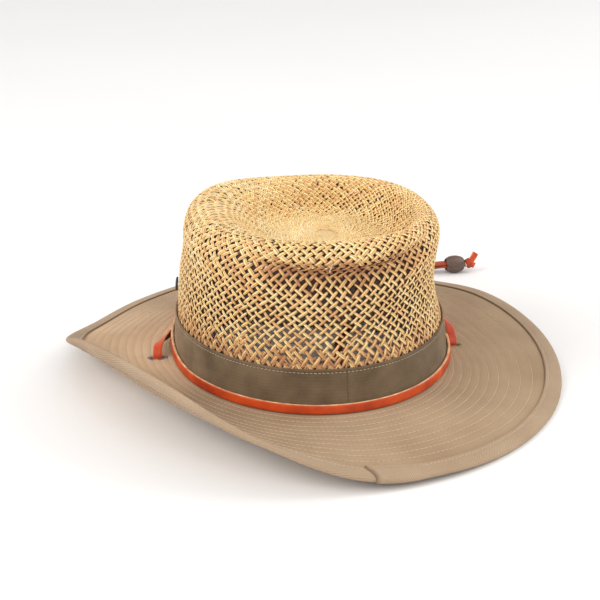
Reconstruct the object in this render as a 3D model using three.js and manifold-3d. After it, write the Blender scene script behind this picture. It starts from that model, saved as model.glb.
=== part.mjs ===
// A safari hat: open-weave straw crown, canvas band and brim, and a leather chin lace.
// Millimetres, +Z up. The hat stands on its brim edge, its front points along -Y.
// Around the hat an angle is counted from the front end, turning towards +X.
import * as THREE from 'three';
import { mergeVertices } from 'three/addons/utils/BufferGeometryUtils.js';
import Module from 'manifold-3d';

// Driving dimensions
const SEGMENTS = 64;
const GAP = 0.3;
const HEAD = { halfLength: 104.9, halfWidth: 92.5 };
const CROWN_WALL = 2;
const CLOTH_WALL = 1.2;

const BRIM = {
  topAtCrown: 15,
  wall: 2,
  edgeWall: 1.2,
  slantWidth: 75.5,
  widerOnRight: 2.2,
  upturnPower: 3,
  droopPower: 1.5,
  slopeShare: 1.15,
};
const BINDING = { ply: 1, width: 11, liftOfMiddle: 1.5 };

const BAND = { bottom: 15.3, top: 44.1, topHalfLength: 102.9, topHalfWidth: 89.7, topShift: -1 };
const SWEATBAND = { bottom: 13, top: 43.5 };

const LACE = { width: 6, thickness: 2, corner: 0.6, low: 18.7, high: 25 };
const SLOT = { length: 10.5, width: 3.2, left: [-104.3, -2.4], right: [96.5, -14] };
const BEAD = { centre: [145.5, 157.6, 7], radius: 7, shoulder: 6.4, face: 5.5, length: 15, bore: 4.1 };
const STUD = { angle: 260, row: 3.1, radius: 4.8, thickness: 1.6 };

// Crown sections from the base, up the wall, over the rim and down to the middle of the top
const CROWN_COLUMNS = ['z', 'halfLength', 'halfWidth', 'shiftX', 'shiftY', 'frontRise', 'squareness'];
const CROWN_SECTIONS = [
  [15.3, 103.4, 91.0, 0, 0, 0, 2],
  [30, 102.4, 89.6, -0.5, 0, 0, 2],
  [44, 101.4, 88.2, -1, 0, 0, 2],
  [58, 99.5, 85.7, -2.6, 0, 0, 2.05],
  [74, 96.5, 83.8, -3, -0.5, 0, 2.1],
  [88, 93, 82.8, -1.5, -1, 0.5, 2.2],
  [100, 89.5, 83.6, 0, -1, 1.5, 2.2],
  [108, 86, 81.8, 1, -1, 2, 2.25],
  [113.5, 81, 77.2, 2, -1, 2, 2.3],
  [116, 75, 71.2, 3, -1, 2, 2.3],
  [113.5, 69, 62, 7, 0, 2, 2.3],
  [106, 64, 55.5, 10, 1, 1.5, 2.3],
  [96, 60, 50, 11, 2, 1, 2.2],
  [91, 55, 45, 11, 3, 0, 2],
  [91.5, 42, 34, 11, 4, 0, 2],
  [94, 22, 18, 11, 4, 0, 2],
  [94.5, 0, 0, 11, 4, 0, 2],
].map((row) => Object.fromEntries(CROWN_COLUMNS.map((name, i) => [name, row[i]])));
const CROWN_WALL_ROWS = [0, 2, 3.5, 5];
const CROWN_TOP_ROWS = [5.04, 5.7, 6.2, 6.8, 7.5, 8.3, 9, 10, 11, 12, 13, 14.5];
const CROWN_RIM_END = 10;

// Soft folds pushed into the crown: the crease across the front, the rim over it, the back left shoulder
const CROWN_FOLDS = [
  { angle: 4, spread: 42, height: 95, reach: 6, inward: 9, lift: 0, rise: 12 },
  { angle: 4, spread: 52, height: 109, reach: 6, inward: -2, lift: 0, rise: 4 },
  { angle: 230, spread: 32, height: 113, reach: 12, inward: -1.5, lift: 2.5, rise: 0 },
];

// Height of the brim's underside at its edge, every 20 degrees from the front
const BRIM_EDGE_STEP = 20;
const BRIM_EDGE_HEIGHTS = [7.4, 2.2, 0, 0, 3.2, 6.5, 8, 2.5, 4.5, 0, 0, 0, 3.3, 19.1, 42.5, 51.3, 47.5, 29.8];

const COLOURS = {
  straw: [0xe6c48c, 0.7],
  bandCloth: [0x6f5e49, 0.9],
  brimCloth: [0xb5987a, 0.9],
  bindingCloth: [0xae9376, 0.9],
  sweatCloth: [0x5c544b, 0.9],
  leather: [0xc1572b, 0.5],
  wood: [0x5d4a42, 0.55],
  stud: [0x2b2a2c, 0.5],
};

const wasm = await Module();
wasm.setup();

const radians = (degrees) => THREE.MathUtils.degToRad(degrees);
const lerp = THREE.MathUtils.lerp;

// Solids from lofted sections

function closedGeometry(points, triangles) {
  const geometry = new THREE.BufferGeometry();
  geometry.setAttribute('position', new THREE.Float32BufferAttribute(points.flatMap((p) => p.toArray()), 3));
  geometry.setIndex(enclosedVolume(points, triangles) < 0 ? triangles.map(([a, b, c]) => [a, c, b]).flat()
    : triangles.flat());
  return geometry;
}

function enclosedVolume(points, triangles) {
  const normal = new THREE.Vector3();
  return triangles.reduce((sum, [a, b, c]) => sum + normal.crossVectors(points[b], points[c]).dot(points[a]), 0);
}

function stripBetween(first, second, count, closed) {
  const triangles = [];
  const last = closed ? count : count - 1;
  for (let i = 0; i < last; i += 1) {
    const next = (i + 1) % count;
    triangles.push([first + i, first + next, second + next], [first + i, second + next, second + i]);
  }
  return triangles;
}

// A ring whose closed section is worked out at each station around the hat
function loftedRing(sectionAt) {
  const sections = Array.from({ length: SEGMENTS }, (_, i) => sectionAt((360 * i) / SEGMENTS));
  const count = sections[0].length;
  const triangles = sections.flatMap((_, i) => (
    stripBetween(i * count, ((i + 1) % SEGMENTS) * count, count, true)));
  return closedGeometry(sections.flat(), triangles);
}

// A bar of closed sections with flat ends
function loftedBar(sections) {
  const count = sections[0].length;
  const triangles = [];
  for (let i = 0; i < sections.length - 1; i += 1) {
    triangles.push(...stripBetween(i * count, (i + 1) * count, count, true));
  }
  const end = (sections.length - 1) * count;
  for (let i = 1; i < count - 1; i += 1) {
    triangles.push([0, i + 1, i], [end, end + i, end + i + 1]);
  }
  return closedGeometry(sections.flat(), triangles);
}

// A shell open below: outer rings up to a pole, inner rings back down
function loftedDome(outerRings, outerPole, innerRings, innerPole) {
  const points = [...outerRings.flat(), ...innerRings.flat(), outerPole, innerPole];
  const innerStart = outerRings.length * SEGMENTS;
  const polePoint = innerStart + innerRings.length * SEGMENTS;
  const triangles = [];
  for (let i = 0; i < outerRings.length - 1; i += 1) {
    triangles.push(...stripBetween(i * SEGMENTS, (i + 1) * SEGMENTS, SEGMENTS, true));
    triangles.push(...stripBetween(innerStart + (i + 1) * SEGMENTS, innerStart + i * SEGMENTS, SEGMENTS, true));
  }
  triangles.push(...stripBetween(innerStart, 0, SEGMENTS, true));
  const top = (outerRings.length - 1) * SEGMENTS;
  for (let i = 0; i < SEGMENTS; i += 1) {
    const next = (i + 1) % SEGMENTS;
    triangles.push([top + i, top + next, polePoint]);
    triangles.push([innerStart + top + next, innerStart + top + i, polePoint + 1]);
  }
  return closedGeometry(points, triangles);
}

// Joining and cutting

function solidOf(geometry) {
  const bare = geometry.clone();
  bare.deleteAttribute('normal');
  bare.deleteAttribute('uv');
  const merged = mergeVertices(bare);
  return new wasm.Manifold(new wasm.Mesh({
    numProp: 3,
    vertProperties: new Float32Array(merged.attributes.position.array),
    triVerts: new Uint32Array(merged.index.array),
  }));
}

function geometryOf(solid) {
  const mesh = solid.getMesh();
  const geometry = new THREE.BufferGeometry();
  geometry.setAttribute('position', new THREE.Float32BufferAttribute(mesh.vertProperties, 3));
  geometry.setIndex(Array.from(mesh.triVerts));
  return geometry;
}

function namedMesh(name, geometry, [colour, roughness]) {
  geometry.computeVertexNormals();
  const material = new THREE.MeshStandardMaterial({ color: colour, roughness, metalness: 0 });
  const mesh = new THREE.Mesh(geometry, material);
  mesh.name = name;
  return mesh;
}

// The oval at the foot of the crown

function ovalPoint(angle, halfLength, halfWidth, z, shiftX = 0, shiftY = 0, squareness = 2) {
  const power = 2 / squareness;
  const sine = Math.sin(radians(angle));
  const cosine = Math.cos(radians(angle));
  const across = Math.sign(sine) * Math.abs(sine) ** power;
  const along = Math.sign(cosine) * Math.abs(cosine) ** power;
  return new THREE.Vector3(shiftX + halfWidth * across, shiftY - halfLength * along, z);
}

function ovalOutward(angle) {
  const sine = Math.sin(radians(angle));
  const cosine = Math.cos(radians(angle));
  return new THREE.Vector3(sine / HEAD.halfWidth, -cosine / HEAD.halfLength, 0).normalize();
}

// Crown

function smoothRow(table, position) {
  const last = table.length - 1;
  const index = Math.min(Math.floor(position), last - 1);
  const f = position - index;
  const row = (i) => table[THREE.MathUtils.clamp(i, 0, last)];
  const smooth = (name) => {
    const [p0, p1, p2, p3] = [-1, 0, 1, 2].map((step) => row(index + step)[name]);
    return 0.5 * (2 * p1 + (p2 - p0) * f + (2 * p0 - 5 * p1 + 4 * p2 - p3) * f * f
      + (3 * p1 - p0 - 3 * p2 + p3) * f ** 3);
  };
  return Object.fromEntries(CROWN_COLUMNS.map((name) => [name, smooth(name)]));
}

function angleFrom(angle, middle) {
  return THREE.MathUtils.euclideanModulo(angle - middle + 180, 360) - 180;
}

function foldWeight(fold, angle, z) {
  const turn = angleFrom(angle, fold.angle) / fold.spread;
  if (Math.abs(turn) >= 1.6) return 0;
  const around = Math.cos((turn / 1.6) * (Math.PI / 2)) ** 2;
  const middle = fold.height + fold.rise * turn * turn;
  return around * Math.exp(-(((z - middle) / fold.reach) ** 2));
}

function crownPoint(angle, position) {
  const row = smoothRow(CROWN_SECTIONS, position);
  const point = ovalPoint(angle, row.halfLength, row.halfWidth, row.z, row.shiftX, row.shiftY, row.squareness);
  const sine = Math.sin(radians(angle));
  const cosine = Math.cos(radians(angle));
  point.z += row.frontRise * cosine;
  const fade = THREE.MathUtils.clamp(CROWN_RIM_END - position, 0, 1);
  CROWN_FOLDS.forEach((fold) => {
    const weight = fade * foldWeight(fold, angle, row.z);
    point.x -= weight * fold.inward * sine;
    point.y += weight * fold.inward * cosine;
    point.z += weight * fold.lift;
  });
  return point;
}

function crownNormal(angle, position) {
  const around = crownPoint(angle + 1, position).sub(crownPoint(angle - 1, position));
  const up = crownPoint(angle, Math.min(position + 0.1, CROWN_SECTIONS.length - 1))
    .sub(crownPoint(angle, Math.max(position - 0.1, 0)));
  return around.cross(up).normalize();
}

function crownInnerPoint(angle, row) {
  const point = crownPoint(angle, row);
  const inner = point.clone().addScaledVector(crownNormal(angle, row), -CROWN_WALL);
  if (row === 0) inner.z = point.z;
  return inner;
}

function crownWall() {
  return namedMesh('crown_wall', loftedRing((angle) => [
    ...CROWN_WALL_ROWS.map((row) => crownPoint(angle, row)),
    ...CROWN_WALL_ROWS.map((row) => crownInnerPoint(angle, row)).reverse(),
  ]), COLOURS.straw);
}

function crownTop() {
  const angles = Array.from({ length: SEGMENTS }, (_, i) => (360 * i) / SEGMENTS);
  const rings = (pointAt) => CROWN_TOP_ROWS.map((row) => angles.map((angle) => pointAt(angle, row)));
  const pole = crownPoint(0, CROWN_SECTIONS.length - 1);
  const innerPole = pole.clone().add(new THREE.Vector3(0, 0, -CROWN_WALL));
  const shell = loftedDome(rings(crownPoint), pole, rings(crownInnerPoint), innerPole);
  return namedMesh('crown_top', shell, COLOURS.straw);
}

// Band around the foot of the crown, and the sweatband inside it

function bandFace(angle, z, inset = 0) {
  const share = (z - BAND.bottom) / (BAND.top - BAND.bottom);
  return ovalPoint(
    angle,
    lerp(HEAD.halfLength, BAND.topHalfLength, share) - inset,
    lerp(HEAD.halfWidth, BAND.topHalfWidth, share) - inset,
    z,
    lerp(0, BAND.topShift, share),
  );
}

function wallBetween(bottom, top, outerInset) {
  return loftedRing((angle) => [
    bandFace(angle, bottom, outerInset),
    bandFace(angle, top, outerInset),
    bandFace(angle, top, outerInset + CLOTH_WALL),
    bandFace(angle, bottom, outerInset + CLOTH_WALL),
  ]);
}

function crownBand() {
  return namedMesh('crown_band', wallBetween(BAND.bottom, BAND.top, 0), COLOURS.bandCloth);
}

function sweatband() {
  const inset = CLOTH_WALL + GAP + CROWN_WALL + GAP;
  return namedMesh('sweatband', wallBetween(SWEATBAND.bottom, SWEATBAND.top, inset), COLOURS.sweatCloth);
}

// Brim

function brimEdgeHeight(angle) {
  const count = BRIM_EDGE_HEIGHTS.length;
  const position = THREE.MathUtils.euclideanModulo(angle, 360) / BRIM_EDGE_STEP;
  const index = Math.floor(position);
  const f = position - index;
  const [p0, p1, p2, p3] = [-1, 0, 1, 2].map((step) => BRIM_EDGE_HEIGHTS[(index + step + count) % count]);
  return 0.5 * (2 * p1 + (p2 - p0) * f + (2 * p0 - 5 * p1 + 4 * p2 - p3) * f * f
    + (3 * p1 - p0 - 3 * p2 + p3) * f ** 3);
}

// Middle of the brim's cloth, at a share of the slant from the crown to the edge
function brimMiddle(angle, share) {
  const atCrown = BRIM.topAtCrown - BRIM.wall / 2;
  const rise = brimEdgeHeight(angle) + BINDING.liftOfMiddle - atCrown;
  const slant = BRIM.slantWidth + BRIM.widerOnRight * Math.sin(radians(angle));
  const reach = Math.sqrt(slant ** 2 - BRIM.slopeShare * rise ** 2);
  const power = rise > 0 ? BRIM.upturnPower : BRIM.droopPower;
  const height = atCrown + (share > 0 ? rise * share ** power : 0);
  return ovalPoint(angle, HEAD.halfLength, HEAD.halfWidth, height)
    .addScaledVector(ovalOutward(angle), reach * share);
}

function brimFrame(angle, share) {
  const outward = brimMiddle(angle, share + 0.01).sub(brimMiddle(angle, share - 0.01)).normalize();
  const around = brimMiddle(angle + 0.5, share).sub(brimMiddle(angle - 0.5, share)).normalize();
  return { middle: brimMiddle(angle, share), outward, up: around.cross(outward).negate().normalize() };
}

function brimOffset(angle, share, outward, up) {
  const frame = brimFrame(angle, share);
  const side = frame.up.z < 0 ? -1 : 1;
  return frame.middle.clone().addScaledVector(frame.outward, outward).addScaledVector(frame.up, side * up);
}

const SHEET_END = 1 - (GAP + BINDING.ply) / BRIM.slantWidth;
const BINDING_START = 1 - BINDING.width / BRIM.slantWidth;
const BRIM_STATIONS = [
  { share: -3 / BRIM.slantWidth, wall: BRIM.wall },
  { share: 0, wall: BRIM.wall },
  { share: 0.25, wall: BRIM.wall },
  { share: 0.48, wall: BRIM.wall },
  { share: 0.64, wall: BRIM.wall },
  { share: 0.76, wall: BRIM.wall },
  { share: BINDING_START - 1.2 / BRIM.slantWidth, wall: BRIM.wall },
  { share: BINDING_START - 0.3 / BRIM.slantWidth, wall: BRIM.edgeWall },
  { share: SHEET_END, wall: BRIM.edgeWall },
];

function slotCutter([x, y]) {
  const half = SLOT.length / 2 - SLOT.width / 2;
  const outline = new THREE.Shape();
  outline.absarc(half, 0, SLOT.width / 2, -Math.PI / 2, Math.PI / 2, false);
  outline.absarc(-half, 0, SLOT.width / 2, Math.PI / 2, (3 * Math.PI) / 2, false);
  const depth = 6 * BRIM.wall;
  const cutter = new THREE.ExtrudeGeometry(outline, { depth, bevelEnabled: false, curveSegments: 4 });
  cutter.translate(x, y, BRIM.topAtCrown - depth / 2);
  return solidOf(cutter);
}

function brim() {
  const sheet = loftedRing((angle) => [
    ...BRIM_STATIONS.map(({ share, wall }) => brimOffset(angle, share, 0, wall / 2)),
    ...BRIM_STATIONS.map(({ share, wall }) => brimOffset(angle, share, 0, -wall / 2)).reverse(),
  ]);
  const cut = solidOf(sheet).subtract(slotCutter(SLOT.left)).subtract(slotCutter(SLOT.right));
  return namedMesh('brim', geometryOf(cut), COLOURS.brimCloth);
}

// Cloth folded over the brim's edge, flattened where the hat stands on it
function brimBinding() {
  const inner = BRIM.edgeWall / 2 + GAP;
  const outer = inner + BINDING.ply;
  const tube = loftedRing((angle) => [
    brimOffset(angle, BINDING_START, 0, outer),
    brimOffset(angle, SHEET_END, 0, outer),
    brimOffset(angle, SHEET_END, GAP + BINDING.ply, 0.45 * outer),
    brimOffset(angle, SHEET_END, GAP + BINDING.ply, -0.45 * outer),
    brimOffset(angle, SHEET_END, 0, -outer),
    brimOffset(angle, BINDING_START, 0, -outer),
    brimOffset(angle, BINDING_START, 0, -inner),
    brimOffset(angle, SHEET_END, GAP, -inner),
    brimOffset(angle, SHEET_END, GAP, inner),
    brimOffset(angle, BINDING_START, 0, inner),
  ].reverse());
  const floor = new THREE.BoxGeometry(600, 600, 10);
  floor.translate(0, 0, -5);
  return namedMesh('brim_binding', geometryOf(solidOf(tube).subtract(solidOf(floor))), COLOURS.bindingCloth);
}

// Leather lace: a flat strip swept along a route

function laceSection({ centre, wide, thick }, cornered) {
  const halfWidth = LACE.width / 2;
  const halfThickness = LACE.thickness / 2;
  const c = LACE.corner;
  const outline = cornered
    ? [[-1, -1], [1, -1], [1, 1], [-1, 1]].flatMap(([w, t]) => {
      const alongFirst = w * t > 0;
      const nearWidth = [w * (halfWidth - c), t * halfThickness];
      const nearThickness = [w * halfWidth, t * (halfThickness - c)];
      return alongFirst ? [nearThickness, nearWidth] : [nearWidth, nearThickness];
    })
    : [[-1, -1], [1, -1], [1, 1], [-1, 1]].map(([w, t]) => [w * halfWidth, t * halfThickness]);
  return outline.map(([w, t]) => centre.clone().addScaledVector(wide, w).addScaledVector(thick, t));
}

function squaredFrame(centre, tangent, wideHint) {
  const wide = wideHint.clone().addScaledVector(tangent, -wideHint.dot(tangent)).normalize();
  return { centre, wide, thick: tangent.clone().cross(wide).normalize() };
}

// The stretch around the crown: angle around the oval, from the left slot backwards, one and a third turns
const WRAP = { start: 236.25, end: -247.5, step: 11.25, riseFrom: -68, riseTo: -106, faceGap: 1.5 };

// Short ends of that stretch, with how far the strip lies over from standing on its edge
const LEFT_RISE = [
  { x: -104.3, y: -2.4, z: 14.5, lean: 90 },
  { x: -104.3, y: -2.2, z: 17.6, lean: 90 },
  { x: -103.8, y: -0.2, z: 20.6, lean: 86 },
  { x: -102.3, y: 5, z: 22.2, lean: 70 },
  { x: -99.6, y: 12.5, z: 21.8, lean: 42 },
  { x: -95.7, y: 22, z: 20.2, lean: 18 },
  { x: -91.4, y: 32.5, z: 18.8, lean: 7 },
];
const RIGHT_FALL = [
  { x: 92.9, y: 20, z: 25.6, lean: 10 },
  { x: 94.6, y: 10, z: 26, lean: 30 },
  { x: 95.9, y: 1, z: 25.4, lean: 58 },
  { x: 96.4, y: -6.5, z: 23.4, lean: 80 },
  { x: 96.5, y: -11.8, z: 19.8, lean: 90 },
  { x: 96.5, y: -13.8, z: 16.6, lean: 90 },
  { x: 96.5, y: -14, z: 14.1, lean: 90 },
];

function wrapRows() {
  const rows = [];
  for (let angle = WRAP.start; angle >= WRAP.end - 0.01; angle -= WRAP.step) {
    const share = THREE.MathUtils.smoothstep(-angle, -WRAP.riseFrom, -WRAP.riseTo);
    const z = lerp(LACE.low, LACE.high, share);
    const point = bandFace(angle, z).addScaledVector(ovalOutward(angle), WRAP.faceGap);
    rows.push({ x: point.x, y: point.y, z, lean: 5 });
  }
  return rows;
}

function crownLace() {
  const rows = [...LEFT_RISE, ...wrapRows(), ...RIGHT_FALL];
  const curve = new THREE.CatmullRomCurve3(rows.map(({ x, y, z }) => new THREE.Vector3(x, y, z)), false, 'centripetal');
  const steps = 2 * (rows.length - 1);
  const up = new THREE.Vector3(0, 0, 1);
  const sections = Array.from({ length: steps + 1 }, (_, i) => {
    const centre = curve.getPoint(i / steps);
    const row = Math.min(Math.floor(i / 2), rows.length - 2);
    const lean = radians(lerp(rows[row].lean, rows[row + 1].lean, i / 2 - row));
    const outward = new THREE.Vector3(centre.x / HEAD.halfWidth ** 2, centre.y / HEAD.halfLength ** 2, 0).normalize();
    const hint = up.clone().multiplyScalar(Math.cos(lean)).addScaledVector(outward, -Math.sin(lean));
    return laceSection(squaredFrame(centre, curve.getTangent(i / steps), hint), false);
  });
  return namedMesh('crown_lace', loftedBar(sections), COLOURS.leather);
}

// Free stretches under the brim and out behind to the bead
const CHIN_STEPS = 36;
const LEFT_ROUTE = [
  [-104.3, -2.4, 14.2], [-104.3, -2.4, 11], [-104.2, -0.8, 6.2], [-103.6, 3.6, 2.6], [-102, 12, 1.3],
  [-97, 25, 1.2], [-86, 46, 1.2], [-68, 68, 1.2], [-42, 88, 1.2], [-10, 103, 1.2], [24, 115, 1.2],
  [50, 130, 1.2], [68, 146, 1.2], [82, 160.5, 1.2], [97, 169, 1.2], [110, 170, 1.2], [120, 166, 1.9],
  [127.5, 160.9, 4], [133.5, 158, 5.6], [139.8, 157.6, 5.85], [145.8, 157.6, 5.85], [152.7, 157.6, 5.85],
];
const RIGHT_ROUTE = [
  [96.5, -14, 13.8], [96.5, -14, 10], [96.4, -15.6, 5.6], [95.7, -20.4, 2.4], [92.8, -29, 1.3],
  [84, -41, 1.2], [66, -50, 1.2], [46, -48, 1.2], [30, -36, 1.2], [21, -16, 1.2], [21, 8, 1.2],
  [28, 34, 1.2], [40, 62, 1.2], [54, 90, 1.2], [68, 116, 1.2], [80, 138, 1.2], [91, 152, 1.2],
  [102, 160.4, 1.2], [110, 160.6, 2], [118, 158.8, 4.8], [126, 157.6, 7.4], [133.5, 157.6, 8.15],
  [139.8, 157.6, 8.15], [145.8, 157.6, 8.15], [152.7, 157.6, 8.15],
];

// The strip leaves its slot edge on to the crown and turns flat on the surface below
function chinLace(name, route, firstWide) {
  const curve = new THREE.CatmullRomCurve3(route.map((p) => new THREE.Vector3(...p)), false, 'centripetal');
  let wide = firstWide.clone();
  const sections = Array.from({ length: CHIN_STEPS + 1 }, (_, i) => {
    const tangent = curve.getTangentAt(i / CHIN_STEPS);
    wide.addScaledVector(tangent, -wide.dot(tangent));
    wide.z *= 0.3;
    const frame = squaredFrame(curve.getPointAt(i / CHIN_STEPS), tangent, wide);
    wide = frame.wide.clone();
    return laceSection(frame, true);
  });
  return namedMesh(name, loftedBar(sections), COLOURS.leather);
}

// Bead and knot at the end of the lace

function bead() {
  const half = BEAD.length / 2;
  const profile = [
    [BEAD.bore, -half + 0.8], [BEAD.bore + 0.8, -half], [BEAD.face, -half], [BEAD.shoulder, -half + 2.2],
    [BEAD.radius, -2], [BEAD.radius, 2], [BEAD.shoulder, half - 2.2], [BEAD.face, half], [BEAD.bore + 0.8, half],
    [BEAD.bore, half - 0.8],
    [BEAD.bore, -half + 0.8],
  ].map(([x, y]) => new THREE.Vector2(x, y));
  const geometry = new THREE.LatheGeometry(profile, 16);
  geometry.rotateZ(-Math.PI / 2);
  geometry.translate(...BEAD.centre);
  const closed = geometryOf(solidOf(geometry));
  return namedMesh('bead', closed, COLOURS.wood);
}

const KNOT = { fromBead: 4.2, radius: 3.8, wrap: 3, wrapThickness: 1.5 };

function knotTail(points, wideHint) {
  const curve = new THREE.CatmullRomCurve3(points.map((p) => new THREE.Vector3(...p)));
  const steps = 4;
  return solidOf(loftedBar(Array.from({ length: steps + 1 }, (_, i) => (
    laceSection(squaredFrame(curve.getPoint(i / steps), curve.getTangent(i / steps), wideHint), true)))));
}

function laceKnot() {
  const [x, y, z] = [BEAD.centre[0] + BEAD.length / 2 + KNOT.fromBead, BEAD.centre[1], BEAD.centre[2]];
  const core = new THREE.SphereGeometry(KNOT.radius, 10, 6);
  core.scale(1, 0.95, 1);
  core.translate(x, y, z);
  const wrap = new THREE.TorusGeometry(KNOT.wrap, KNOT.wrapThickness, 6, 12);
  wrap.rotateY(radians(62));
  wrap.rotateZ(radians(24));
  wrap.translate(x, y, z);
  const tailUp = knotTail([[x + 0.5, y + 0.5, z + 0.5], [x + 3.6, y + 1.2, z + 3.6], [x + 7.4, y + 2, z + 8.2]],
    new THREE.Vector3(0.7, 0, -0.6));
  const tailDown = knotTail([[x + 0.5, y, z - 0.5], [x + 3.2, y - 1.2, z - 1.2], [x + 5.8, y - 1.8, z - 1.6]],
    new THREE.Vector3(0.3, 0.3, 1));
  const knot = solidOf(core).add(solidOf(wrap)).add(tailUp).add(tailDown);
  return namedMesh('lace_knot', geometryOf(knot), COLOURS.leather);
}

// Plain round stud on the left side of the crown
function sideStud() {
  const seat = crownPoint(STUD.angle, STUD.row);
  const normal = crownNormal(STUD.angle, STUD.row);
  const half = STUD.thickness / 2;
  const profile = [[0, -half], [STUD.radius - 0.3, -half], [STUD.radius, 0], [STUD.radius - 0.8, half * 0.8],
    [0, half]].map(([x, y]) => new THREE.Vector2(x, y));
  const geometry = new THREE.LatheGeometry(profile, 20);
  geometry.applyQuaternion(new THREE.Quaternion().setFromUnitVectors(new THREE.Vector3(0, 1, 0), normal));
  const centre = seat.addScaledVector(normal, half + GAP);
  geometry.translate(centre.x, centre.y, centre.z);
  return namedMesh('side_stud', geometryOf(solidOf(geometry)), COLOURS.stud);
}

function safariHat() {
  const hat = new THREE.Group();
  const binding = brimBinding();
  hat.add(
    crownWall(),
    crownTop(),
    crownBand(),
    sweatband(),
    brim(),
    binding,
    crownLace(),
    chinLace('chin_lace_left', LEFT_ROUTE, new THREE.Vector3(1, 0, 0)),
    chinLace('chin_lace_right', RIGHT_ROUTE, new THREE.Vector3(-1, 0, 0)),
    bead(),
    laceKnot(),
    sideStud(),
  );
  const middle = new THREE.Box3().setFromObject(binding).getCenter(new THREE.Vector3());
  hat.position.set(-middle.x, -middle.y, 0);
  return hat;
}

export default safariHat();
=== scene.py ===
# Safari hat: woven straw crown, canvas band and brim, leather lace with a bead.
import math
import bpy
import numpy as np
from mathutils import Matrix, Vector


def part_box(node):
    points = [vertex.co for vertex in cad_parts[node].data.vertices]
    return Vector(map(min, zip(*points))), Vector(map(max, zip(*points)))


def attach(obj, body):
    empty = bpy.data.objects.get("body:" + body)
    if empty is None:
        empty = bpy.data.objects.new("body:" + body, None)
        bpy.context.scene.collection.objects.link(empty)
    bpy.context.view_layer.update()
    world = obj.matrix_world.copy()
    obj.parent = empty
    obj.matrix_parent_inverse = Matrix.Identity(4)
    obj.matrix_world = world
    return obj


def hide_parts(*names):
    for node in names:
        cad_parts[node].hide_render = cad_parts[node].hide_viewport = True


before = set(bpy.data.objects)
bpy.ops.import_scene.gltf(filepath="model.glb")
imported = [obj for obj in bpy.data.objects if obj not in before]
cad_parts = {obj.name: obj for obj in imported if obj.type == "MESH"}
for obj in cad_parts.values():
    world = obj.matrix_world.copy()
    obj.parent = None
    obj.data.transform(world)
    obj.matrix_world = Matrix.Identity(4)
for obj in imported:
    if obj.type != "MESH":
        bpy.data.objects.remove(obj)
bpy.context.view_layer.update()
bpy.ops.object.select_all(action="DESELECT")

MM = 0.001
TAU = 2 * math.pi
dice = np.random.default_rng(59)

# The hat's own middle in the row frame, in metres
band_low, band_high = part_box("crown_band")
MIDDLE = np.array([(band_low.x + band_high.x) / 2, (band_low.y + band_high.y) / 2, 0.0])


def placed(points):
    """Millimetres about the hat's middle to metres in the row frame."""
    return np.asarray(points, float) * MM + MIDDLE


# Camera and lights

CAMERA_PLACE, CAMERA_AIM = (-166.1, -912.2, 423.4), (-6.7, 1.2, 48.8)
SENSOR_WIDTH, LENS = 36.0, 88.98
HAT_MIDDLE = (0, 0, 0.05)


def make_camera():
    data = bpy.data.cameras.new("camera")
    data.sensor_width, data.lens = SENSOR_WIDTH, LENS
    camera = bpy.data.objects.new("camera", data)
    bpy.context.scene.collection.objects.link(camera)
    camera.location = placed(CAMERA_PLACE)
    aim = Vector(placed(CAMERA_AIM)) - camera.location
    camera.rotation_mode = "QUATERNION"
    camera.rotation_quaternion = aim.to_track_quat("-Z", "Y")
    data.clip_start, data.clip_end = 0.05, 50.0
    bpy.context.scene.camera = camera


def make_light(name, place, size, power, colour):
    data = bpy.data.lights.new(name, "AREA")
    data.shape, data.size, data.energy, data.color = "DISK", size, power, colour
    light = bpy.data.objects.new(name, data)
    bpy.context.scene.collection.objects.link(light)
    light.location = place
    light.rotation_mode = "QUATERNION"
    light.rotation_quaternion = (Vector(HAT_MIDDLE) - light.location).to_track_quat("-Z", "Y")


make_camera()
make_light("side_left", (-1.7, -0.4, 1.2), 1.2, 23.0, (1.0, 0.985, 0.96))
make_light("side_right", (1.7, 0.1, 1.2), 1.2, 16.0, (1.0, 0.985, 0.96))
make_light("front_soft", (0.2, -1.8, 1.4), 1.8, 13.0, (1.0, 0.985, 0.97))


# Shader building

def linear(red, green, blue):
    """A displayed colour, 0 to 255, as the shader's own linear values."""
    values = np.array([red, green, blue]) / 255
    values = np.where(values <= 0.04045, values / 12.92, ((values + 0.055) / 1.055) ** 2.4)
    return (*values, 1.0)


def darker(colour, share):
    return tuple(c * share for c in colour[:3]) + (1.0,)


def add(tree, kind, inputs=None, **settings):
    """A node of this kind, its settings made and its inputs set or linked."""
    made = tree.nodes.new("ShaderNode" + kind)
    for key, value in settings.items():
        setattr(made, key, value)
    for key, value in (inputs or {}).items():
        socket = made.inputs[key]
        if isinstance(value, bpy.types.NodeSocket):
            tree.links.new(value, socket)
        else:
            socket.default_value = value
    return made


def maths(tree, operation, *values):
    return add(tree, "Math", dict(enumerate(values)), operation=operation).outputs[0]


def blend_colours(tree, share, first, second, blend="MIX"):
    mixer = add(tree, "Mix", {0: share, 6: first, 7: second}, data_type="RGBA", blend_type=blend)
    return mixer.outputs[2]


def attribute(tree, name):
    return add(tree, "Attribute", attribute_name=name).outputs["Fac"]


def noise(tree, place, scale, detail=2.0):
    return add(tree, "TexNoise", {"Vector": place, "Scale": scale, "Detail": detail}).outputs[0]


def fitted(tree, value, low, high, start=0.0, end=1.0):
    """This value carried from low and high to start and end."""
    return add(tree, "MapRange", {0: value, 1: low, 2: high, 3: start, 4: end}).outputs[0]


def grey(tree, level):
    return add(tree, "CombineColor", {0: level, 1: level, 2: level}).outputs[0]


def ramp(tree, value, stops):
    """A colour ramp with these (place, colour) stops."""
    made = add(tree, "ValToRGB", {0: value})
    elements = made.color_ramp.elements
    for i, (place, colour) in enumerate(stops):
        element = elements[i] if i < 2 else elements.new(place)
        element.position, element.color = place, colour
    return made.outputs[0]


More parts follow.
